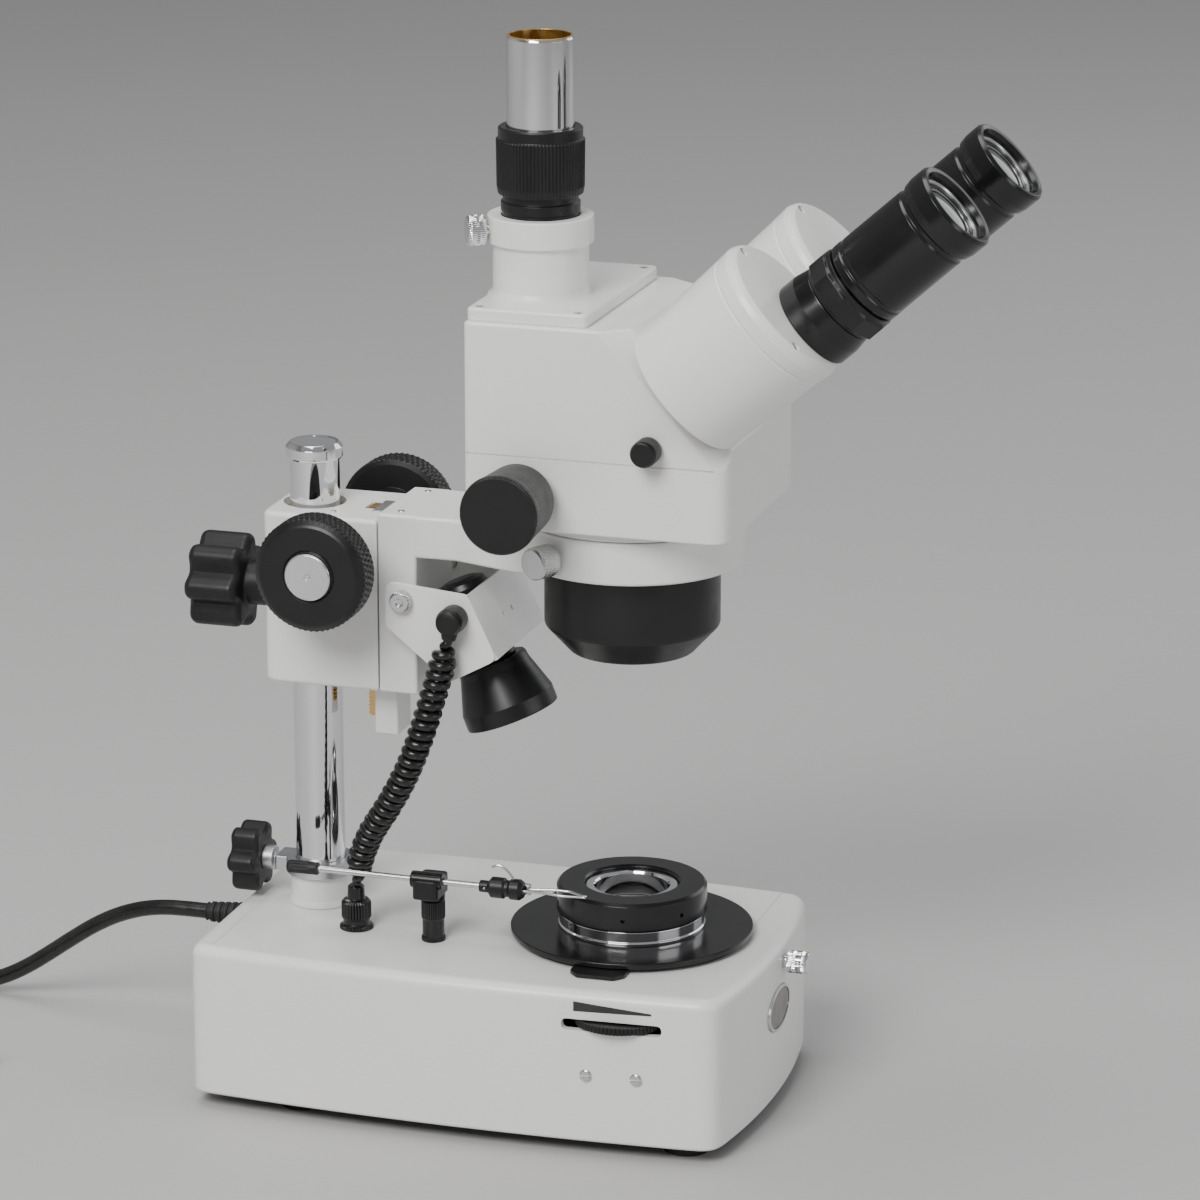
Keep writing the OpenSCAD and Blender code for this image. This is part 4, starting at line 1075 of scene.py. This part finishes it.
def make_lamp():
    px = LAMP_HALF
    plate = rounded([(92, 214), (92, 196), (66, 175), (46, 186), (58, 211)], 4.0, 6)
    body, side = [loft(name, [[(x, p[0], p[1]) for p in plate] for x in sorted((s * px, s * (px - 2)))],
                       ON_AXIS) for name, s in (("lamp_housing", -1), ("lamp_side", 1))]
    combine(body, [side], "UNION")
    front = loft("front", [[(x, p[0], p[1]) for p in ((58, 211), (46, 186), (47.8, 185.1), (59.8, 210.1))]
                           for x in (1 - px, px - 1)], ON_AXIS)
    floor = loft("floor_part", [[(x, p[0], p[1]) for p in ((46, 186), (66, 175), (67, 176.8), (47, 187.8))]
                                for x in (1 - px, px - 1)], ON_AXIS)
    combine(body, [front, floor], "UNION")
    axis = (0, sin(LAMP_TILT), cos(LAMP_TILT))
    neck = facing(0, 57, 173, axis)
    normal = (0, -25, 12)
    holes = [cutter(circle(1.1, 20), -3, 3, facing(x, 51.5, 197.5, normal)) for x in (-5, 5)]
    pivot = spot("lamp_tilt")
    cut(body, cutter(circle(11.2, 64), -30, 30, neck), *holes,
        cutter(circle(2.7, 32), -50, 50, facing(0, pivot.y - AXIS_Y, pivot.z, RIGHT)))
    bevel(body, 0.5, 2)
    give(shade(body), "enamel", "lamp_bracket")
    drum = lathe("lamp_drum", [(6.4, -2), (6.4, 3.8), (10.4, 3.8), (10.4, 35), (9.4, 37.4), (6, 38.6),
                               (0, 39)][::-1] + [(0, -2)], neck, 96, 0.9, ring=False)
    give(drum, "black_satin", "lamp_bulb")
    shroud = lathe("lamp_hood", [(7, 3.8), (13.6, 3.8), (14.2, 2.6), (14.6, 0), (19, -13.6), (19, -20),
                                 (17.6, -20), (17.3, -14), (12.5, 0), (7, 1.5)], neck, 128, 0.7)
    give(shroud, "black_satin", "lamp_shroud")
    reflector = lathe("lamp_reflector", [(6.5, 0.8), (12.1, -0.8), (16.6, -13.4), (16.9, -13.2),
                                         (12.4, 0.2), (6.5, 1.4)], neck, 96, 0.1)
    give(reflector, "chrome", "lamp_shroud", slot="reflector")
    bulb = lathe("lamp_bulb_glass", [(0, -9), *[(6 * cos(radians(a)), -3 + 6 * sin(radians(a)))
                                                for a in range(-80, 1, 10)], (6, -2), (0, -2)],
                 neck, 48, 0.05, ring=False)
    give(bulb, "bulb_glass", "lamp_bulb")
    for k, s in enumerate((-1, 1)):
        place = facing(s * px, pivot.y - AXIS_Y, pivot.z, (s, 0, 0))
        head = lathe(f"pivot_head_{k}", [(0, 0), (4.2, 0), *between((4.5, 0.5), (4.5, 3.0), 4), (4.5, 3.0),
                                         (3.6, 3.9),
                                         (1.6, 3.9), (1.3, 3.0), (0, 3.0)], place, 180, 0.3, ring=False,
                     wave=knurl(30, 0.45, 4.3, 1.2))
        give(head, "steel", "pivot_screws")
        give(rod(f"pivot_shaft_{k}", 2.5, 14 - px, 0.2, place), "steel", "pivot_screws")
    boss = lathe("cord_socket_upper", [(0, 0), (5.3, 0), (5.5, 2), (5.5, 8), (4.6, 10.6), (3, 11), (0, 11)],
                 facing(-px, 63, 202, LEFT), 64, 0.8, ring=False)
    give(boss, "black_moulded", "lamp_bracket")
    bend = smooth_path([(-px - 6, 63 + AXIS_Y, 202), (-px - 6.4, 63.2 + AXIS_Y, 199),
                        (-36.2, 63.8 + AXIS_Y, 194.8)], 0.6)
    boot = sweep("cord_boot_upper", bend, lambda k: 4.4 - 1.6 * k / (len(bend) - 1), 24)
    give(boot, "black_rubber", "lamp_bracket")


# ---------------------------------------------------------------- head


COVER_SCREWS = [(x, y) for x in (-42, 42) for y in (8.5, 48)]


def head_block(name, grow, z0, z1):
    """A slice of the head's casting: a box with a round front."""
    hw, front, back = HEAD_HALF + grow, -52 - grow, 52.5 + grow
    corners = [(hw, front), (hw, back), (-hw, back), (-hw, front)]
    radii = [9.0, 3.5, 3.5, 9.0]
    outline = []
    for k, p in enumerate(corners):
        a, b = corners[k - 1], corners[(k + 1) % 4]
        outline += rounded([a, p, b], radii[k], 7, closed=False)[1:-1]
    return loft(name, [[(p.x, p.y, z) for p in outline] for z in (z0, z1)], ON_AXIS)


def slope_frame():
    """+Z out of the sloping face, whose side edges lie in z = 0."""
    return at(0, -4, high("head_body").z - 3) @ Matrix.Rotation(pi / 2 - INCLINE, 4, "X")


def make_head():
    lo, hi = 245.0, high("head_body").z
    body = head_block("head_casting", 0, lo, hi)
    away = slope_frame()
    cut(body,
        cutter([(-90, -120), (90, -120), (90, 60), (-90, 60)], 8, 80, away),
        *[loft("cutter", [[(s * HEAD_HALF + (COS_45 * (u * s) + COS_45 * w * s), v,
                            -COS_45 * u + COS_45 * w)
                           for u, v in ((-30, -120), (30, -120), (30, 60), (-30, 60))] for w in (0, 40)],
                           away) for s in (-1, 1)],
        prism_x([(60, 257.8), (19, 244.4), (19, 230), (60, 230)], -80, 80))
    bevel(body, 2.4, 4, 28)
    seam = 274.0
    groove = head_block("cutter", 3, seam - 0.3, seam + 0.3)
    core = head_block("cutter", -0.6, seam - 2, seam + 2)
    front = cutter([(-60, -60), (60, -60), (60, -47), (-60, -47)], seam - 3, seam + 3, ON_AXIS)
    cut(groove, core, front)
    cut(body, groove)
    zoom = spot("zoom_turn")
    path_y, path_z = -22, 281
    cut(body,
        cutter(circle(32.4, 128), 230, 250, ON_AXIS),
        cutter(circle(4.2, 48), -90, 90, facing(0, zoom.y - AXIS_Y, zoom.z, RIGHT)),
        cutter(circle(3.2, 32), 30, 90, facing(0, path_y, path_z, LEFT)))
    give(shade(body), "enamel", "head_body")
    collar = lathe("head_collar", [(33, 241.4), (43.6, 241.4), (44, 242), (44, 246), (33, 246)], ON_AXIS,
                   160, 0.4)
    give(collar, "enamel", "head_body")
    sleeve = lathe("head_sleeve", [(32.2, 223.5), (37.8, 223.5), (37.8, 243), (32.2, 243)], ON_AXIS, 128,
                   0.4)
    give(sleeve, "enamel", "head_body")
    # top plate with its screws, and the camera port
    top = slab("head_top_plate", rectangle(-47, 4, 47, 52, 3.0), hi - 0.2, hi + 5, 1.0, ON_AXIS)
    px, py = PORT.x, PORT.y - AXIS_Y
    place = at(px, py, 0)
    z1 = high("head_cover").z
    tower = lathe("port_tower", [(15.1, hi + 1), (22, hi + 1), (20.4, hi + 4.9), (19.2, hi + 5.7),
                                 (18.5, hi + 7.4),
                                 (18.5, z1 - 11.4), (19.2, z1 - 10.9), (20.5, z1 - 10.6), (20.5, z1),
                                 (15.1, z1)], place, 160, 0.7)
    combine(top, [tower], "UNION")
    lock = JOINTS["port_lock_turn"]["axis"]
    cut(top, cutter(circle(15.1, 96), hi - 4, z1 + 4, place),
        cutter(circle(2.15, 24), 10, 30, aimed(Vector((PORT.x, PORT.y, spot("port_lock_turn").z)), lock)),
        *[cutter(circle(2.1, 24), hi + 3.6, hi + 9, at(x, y, 0)) for x, y in COVER_SCREWS])
    give(shade(top), "enamel", "head_cover")
    for k, (x, y) in enumerate(COVER_SCREWS):
        screw(f"cover_screw_{k}", at(x, y, hi + 3.6), 1.9, 1.1, "head")
    place = aimed(Vector((PORT.x, PORT.y, spot("port_lock_turn").z)), lock)
    knob = lathe("port_lock_head", [(0, 22), (5.4, 22), *between((5.9, 22.5), (5.9, 27.9), 5), (5.9, 27.9),
                                    (5.2, 29),
                                    (0, 29)], place, 240, 0.4, ring=False, wave=knurl(40, 0.4, 5.7, 1.0))
    give(knob, "chrome", "port_lock_screw", slot="bright_steel")
    give(rod("port_lock_shaft", 2.0, 15.8, 22.6, place), "chrome", "port_lock_screw", slot="bright_steel")
    make_camera_port(px, py)
    # black objective shroud with its cone
    shroud = lathe("objective_hood", [
        (22, 187), (24.4, 187), (25.2, 187.6), (34.2, 197.4), (34.6, 198.6), (34.6, 222.6), (31.9, 222.6),
        (31.9, 243.6), (28, 243.6), (28, 200), (22, 190)], ON_AXIS, 160, 0.6)
    give(shroud, "black_satin", "objective_shroud")
    # zoom knobs: turned, slightly tapered, with a flat face and a worn edge
    for k, s in enumerate((-1, 1)):
        place = facing(s * 50.5, zoom.y - AXIS_Y, zoom.z, (s, 0, 0))
        knob = lathe(f"zoom_knob_{k}", [
            (4, 0.2), (9, 0.2), (9, 4.6), (13.4, 4.6), (14, 5.4), *between((14.1, 6), (15.2, 27), 24),
            (15.2, 27),
            (15.5, 28.4), (15.5, 30.4), (14.6, 31.5), (0, 31.5)][::-1] + [(0, 0.2)], place, 384, 0.35,
            ring=False, wave=knurl(96, 0.22, 13.9, 0.0))
        give(knob, "black_satin", "zoom_knobs")
    shaft = rod("zoom_shaft", 4.0, -51, 51, facing(0, zoom.y - AXIS_Y, zoom.z, RIGHT))
    give(shaft, "steel", "zoom_knobs")
    place = facing(-HEAD_HALF, path_y, path_z, LEFT)
    knob = lathe("path_knob", [(0, 0.6), (4.6, 0.6), *between((5.3, 1.4), (5.3, 9.0), 7), (5.3, 9.0),
                               (4.5, 10.4),
                               (0, 10.4)], place, 240, 0.4, ring=False, wave=knurl(40, 0.35, 5.1, 1.0))
    give(knob, "black_satin", "path_rod")
    give(rod("path_shaft", 3.0, -23, 1, place), "steel", "path_rod")


def make_camera_port(px, py):
    place = at(px, py, 0)
    z0, z1 = low("camera_ring").z, high("camera_ring").z
    lip = high("head_cover").z
    ring = lathe("camera_grip", [
        (13.1, z0), (14.9, z0), (14.9, lip + 1), (15.3, lip + 1.4), (15.3, lip + 5), (14.6, lip + 5.6),
        (14.6, lip + 7.8), (16.4, lip + 8.2), *between((16.9, lip + 11), (17.1, lip + 29), 10),
        (17.1, lip + 29),
        (16.3, lip + 29.6), (16.3, z1 - 0.6), (15.6, z1), (13.1, z1)], place, 288, 0.3,
        wave=knurl(72, 0.4, 16.6))
    give(ring, "black_satin", "camera_ring")
    t0, t1 = low("camera_tube").z, high("camera_tube").z
    tube = lathe("camera_barrel", [(11.8, t0), (12.97, t0), (12.97, t1 - 1.2), (12.5, t1 - 0.4),
                                   (11.9, t1 - 0.4), (11.8, t1 - 1)], place, 128, 0.2)
    give(tube, "chrome", "camera_tube")
    lining = lathe("camera_lining", [(10.2, t0 + 2), (11.75, t0 + 2), (11.75, t1 - 0.6), (12.45, t1 - 0.6),
                                     (12.6, t1), (11.62, t1), (11.62, t0 + 40), (10.2, t0 + 40)], place,
                                     128, 0.15)
    give(lining, "brass", "camera_tube")


# ---------------------------------------------------------------- prism housings and eyepieces


def make_prisms():
    for side, s in (("left", -1), ("right", 1)):
        body = f"{side}_prism"
        centre, eye = spot(f"{side}_ipd"), spot(f"{side}_diopter_turn")
        place = aimed(centre, EYE_DIR)
        housing = lathe(f"{side}_housing", [
            (24.5, 0.3 - PRISM_LEN), (26.9, 0.3 - PRISM_LEN), (27.5, 0.9 - PRISM_LEN), (29.55, -9.6),
            (29.2, -9.2), (29.2, -8.8),
            (29.7, -8.4), (30, -3.6), (29.1, -1.3), (27.4, 0), (0, 0), (0, -2), (24.3, -2.4)], place, 192,
            1.2, ring=False)
        # three cap screws round the rim, sunk in the cap's bevel
        local = place.to_3x3().normalized().inverted()
        rise = local @ Vector((0, sin(INCLINE), cos(INCLINE)))
        out = local @ Vector((s, 0, 0))
        spots = [(rise * cos(a) + out * sin(a)) * 25.8 for a in (0, radians(122), radians(240))]
        spots = [(p.x, p.y) for p in spots]
        cut(housing, *[cutter(circle(1.9, 20, x, y), -1.8, 2, place) for x, y in spots])
        give(shade(housing), "enamel", f"{side}_prism_housing")
        for k, (x, y) in enumerate(spots):
            screw(f"{side}_cap_screw_{k}", place @ Matrix.Translation((x, y, -1.8)), 1.7, 0.9, body, "hex",
                  "black_satin")
        lens = aimed(eye, EYE_DIR)
        sleeve = lathe(f"{side}_eye_sleeve", [
            (15.1, -0.2), (17.6, -0.2), (18, 0.4), (18, 7.4), (17.3, 11.6), (16.9, 14), (15.1, 14)], lens,
            128, 0.6)
        give(sleeve, "black_gloss", f"{side}_prism_housing")

        def facets(angle, r, z):
            turn = angle % (tau / 10) - pi / 10
            return 0.0 if r < 17.9 else r * (cos(pi / 10) / cos(turn) - 1)
        band = lathe(f"{side}_diopter_band", [
            (15.1, 14.3), (17.2, 14.3), (17.3, 15.0), (18.6, 15.9), (18.6, 22.6), (17.3, 23.6),
            (17.2, 25.3), (15.1, 25.3)],
            lens, 240, 0.4, wave=facets)
        give(band, "black_satin", f"{side}_diopter_ring")
        shift = ((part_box(f"{side}_eyepiece")[1].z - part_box("left_eyepiece")[1].z) / MM) / sin(INCLINE)
        tube = lens @ Matrix.Translation((0, 0, shift if s > 0 else 0))
        barrel = lathe(f"{side}_eye_barrel", [
            (11.8, 3), (14.95, 3), (14.95, 26), (16.9, 26), (17.4, 26.8), (17.4, 29.4), (16.8, 30),
            (16.8, 31.2),
            (17.3, 32), (17.2, 60), (16.5, 61), (16.5, 62.4), (17.6, 63.4), (18.2, 66.5), (18.2, 72.6),
            (17.2, 74), (15.4, 73.6), (14.6, 71.9), (14.2, 69.6), (11.8, 69.2)], tube, 160, 0.45)
        give(barrel, "black_gloss", f"{side}_eyepiece", slot="black_plastic")
        ring = lathe(f"{side}_lens_ring", [(12.6, 68.6), (14.2, 68.6), (14.2, 70.8), (13.3, 70.8),
                                           (12.6, 70.2)], tube, 96, 0.2)
        give(ring, "steel", f"{side}_eyepiece")
        glass = sphere_cap(f"{side}_eye_lens", 12.9, 2.4, tube @ Matrix.Translation((0, 0, 68.7)), 96)
        give(glass, "coated_lens", f"{side}_eyepiece")
        # painted shade: a dark disc across the whole bore stands in for the shade inside the eyepiece tube
        hollow_shade_disc = lathe(f"{side}_painted_shade_disc", [(0, 40), (11.9, 40), (11.9, 41), (0, 41)], tube, 64, 0.2,
                      ring=False)
        give(hollow_shade_disc, "painted_hollow_shade", f"{side}_eyepiece")


# ---------------------------------------------------------------- ends of the cords


def make_cord_ends():
    sx = (low("cord_socket").x + high("cord_socket").x) / 2
    sy = (low("cord_socket").y + high("cord_socket").y) / 2
    place = Matrix.Translation((sx, sy, 0))
    z = BASE_TOP
    plug = lathe("lamp_plug", [
        (0, z - 7), (3.8, z - 7), (3.8, z), (6.8, z), (6.8, z + 1.4), (5.4, z + 2.4), (5.4, z + 4),
        *between((6.0, z + 5), (6.0, z + 11), 6), (6.0, z + 11), (5.0, z + 12.2), (3.6, z + 12.6),
        (3.3, z + 17.6),
        (2.6, z + 18.2), (0, z + 18.2)], place, 180, 0.35, ring=False, wave=knurl(30, 0.5, 5.7))
    give(plug, "black_gloss", "cord_socket", slot="black_plastic")
    gland = (low("mains_gland") + high("mains_gland")) / 2
    rear = high("base_housing").y
    place = aimed(Vector((gland.x, rear, gland.z)), BACK)
    ribs = []
    for k in range(7):
        r = 5.6 - 0.22 * k
        ribs += [(r, 4.4 + 3 * k), (r, 6.0 + 3 * k), (r - 0.9, 6.2 + 3 * k), (r - 0.9, 7.1 + 3 * k)]
    relief = lathe("mains_relief", [(3.3, -8), (4.8, -8), (4.8, 0.1), (7, 0.1), (7, 2.6), (5.8, 3.2), *ribs,
                                    (4.0, 26), (3.3, 26)], place, 64, 0.3)
    give(relief, "black_rubber", "mains_gland")
    # moulded plug: a body with grips, a tapered tail and three pins
    lo, hi = low("mains_plug"), high("mains_plug")
    cx = (lo.x + hi.x) / 2
    y0 = lo.y + 18
    place = Matrix.Translation((cx, y0, lo.z + 9)) @ Matrix.Rotation(radians(-90), 4, "X")
    outline = rounded([(-9, -8.8), (9, -8.8), (9, 8.8), (-9, 8.8)], 4.5, 6)
    body = slab("plug_body", outline, 0, 25.6, 1.6, place)
    tail = lathe("tail", [(0, 22), (8.4, 22), (8.2, 27), (4.6, 54), (3.4, 56), (0, 56)], place, 64, 1.0,
                 ring=False)
    combine(body, [tail], "UNION")
    cut(body, *[cutter([(s * 9.6, -6), (s * 8.3, -6), (s * 8.3, 6), (s * 9.6, 6)], 6 + 3 * k, 7.4 + 3 * k,
                       place) for s in (-1, 1) for k in range(5)])
    give(shade(body), "black_moulded", "mains_plug", slot="cord_black")
    for k, s in enumerate((-1, 1)):
        blade = slab(f"plug_blade_{k}", rectangle(s * 6.35 - 0.75, -3.2, s * 6.35 + 0.75, 3.2, 0.3), -16,
                     0.5, 0.4, place, 2)
        give(blade, "brass", "mains_plug", slot="cord_black")
    earth = lathe("plug_earth_pin", [(0, 0.5), (2.35, 0.5), (2.35, -16), (1.6, -18), (0, -18)],
                  place @ Matrix.Translation((0, -5.2, 0)), 32, 0.3, ring=False)
    give(earth, "brass", "mains_plug", slot="cord_black")


# ---------------------------------------------------------------- finish of the CAD nodes

# Nodes with no piece of their own: material, width of the broken edges, and a slot if not the usual
FINISH = {
    "base_plate": ("dark_plate", 0.5),
    "transformer": ("board", 0.0),
    "base_lamp": ("bulb_glass", 0.0),
    "reflector_dish": ("chrome", 0.0, "reflector"),
    "switch_rocker": ("black_moulded", 0.4),
    "iris_lever": ("black_satin", 0.2),
    "pillar_bush": ("bronze", 0.3),
    "pinion_shaft": ("steel", 0.1),
    "objective_lens": ("lens", 0.0),
    "zoom_lenses": ("lens", 0.0),
    "head_prisms": ("lens", 0.0),
}


def refine_rest():
    """Finishes the CAD nodes that no piece stands for."""
    for node, finish in FINISH.items():
        refine(node, *finish)


# ---------------------------------------------------------------- floor and light


def make_stage():
    floor_z = cad_box[0].z
    bm = bmesh.new()
    outline = [(-3.0, floor_z), (1.6, floor_z)]
    for k in range(13):
        a = radians(90 * k / 12)
        outline.append((1.6 + 0.9 * sin(a), floor_z + 0.9 * (1 - cos(a))))
    outline.append((2.5, floor_z + 4.0))
    rows = [[bm.verts.new((x, y, z)) for x in (-6, -3, 0, 3, 6)] for y, z in outline]
    for a, b in zip(rows, rows[1:]):
        for i in range(4):
            bm.faces.new((a[i], a[i + 1], b[i + 1], b[i])).smooth = True
    mesh = bpy.data.meshes.new("floor")
    bm.to_mesh(mesh)
    bm.free()
    floor = bpy.data.objects.new("floor", mesh)
    bpy.context.scene.collection.objects.link(floor)
    paint(floor, "floor")


def area_light(name, place, aim, width, height, power, color=(1, 1, 1)):
    data = bpy.data.lights.new(name, "AREA")
    data.shape = "RECTANGLE"
    data.size = width
    data.size_y = height
    data.energy = power
    data.color = color
    light = bpy.data.objects.new(name, data)
    light.location = place
    light.rotation_mode = "QUATERNION"
    light.rotation_quaternion = (Vector(place) - Vector(aim)).to_track_quat("Z", "Y")
    bpy.context.scene.collection.objects.link(light)


def make_lights():
    aim = (0, 0, 0.2)
    area_light("key", (-2.0, 0.3, 1.9), aim, 1.2, 1.2, 66, (1.0, 0.99, 0.97))
    area_light("fill", (1.9, -1.2, 1.0), aim, 1.2, 1.6, 9, (0.97, 0.985, 1.0))
    area_light("top", (0.1, 0.3, 2.4), aim, 1.6, 1.0, 24)
    area_light("low_front", (-0.5, -2.4, 0.7), aim, 1.6, 0.6, 9)
    world = bpy.data.worlds.new("studio")
    world.use_nodes = True
    world.node_tree.nodes["Background"].inputs["Color"].default_value = (0.92, 0.93, 0.95, 1)
    world.node_tree.nodes["Background"].inputs["Strength"].default_value = 0.34
    bpy.context.scene.world = world


# ---------------------------------------------------------------- the whole scene

make_materials()
make_camera()
make_cord_ends()
make_cords()
make_base()
make_stage_parts()
make_pillar()
make_gem_clamp()
make_focus()
make_lamp()
make_head()
make_prisms()
refine_rest()
make_stage()
make_lights()
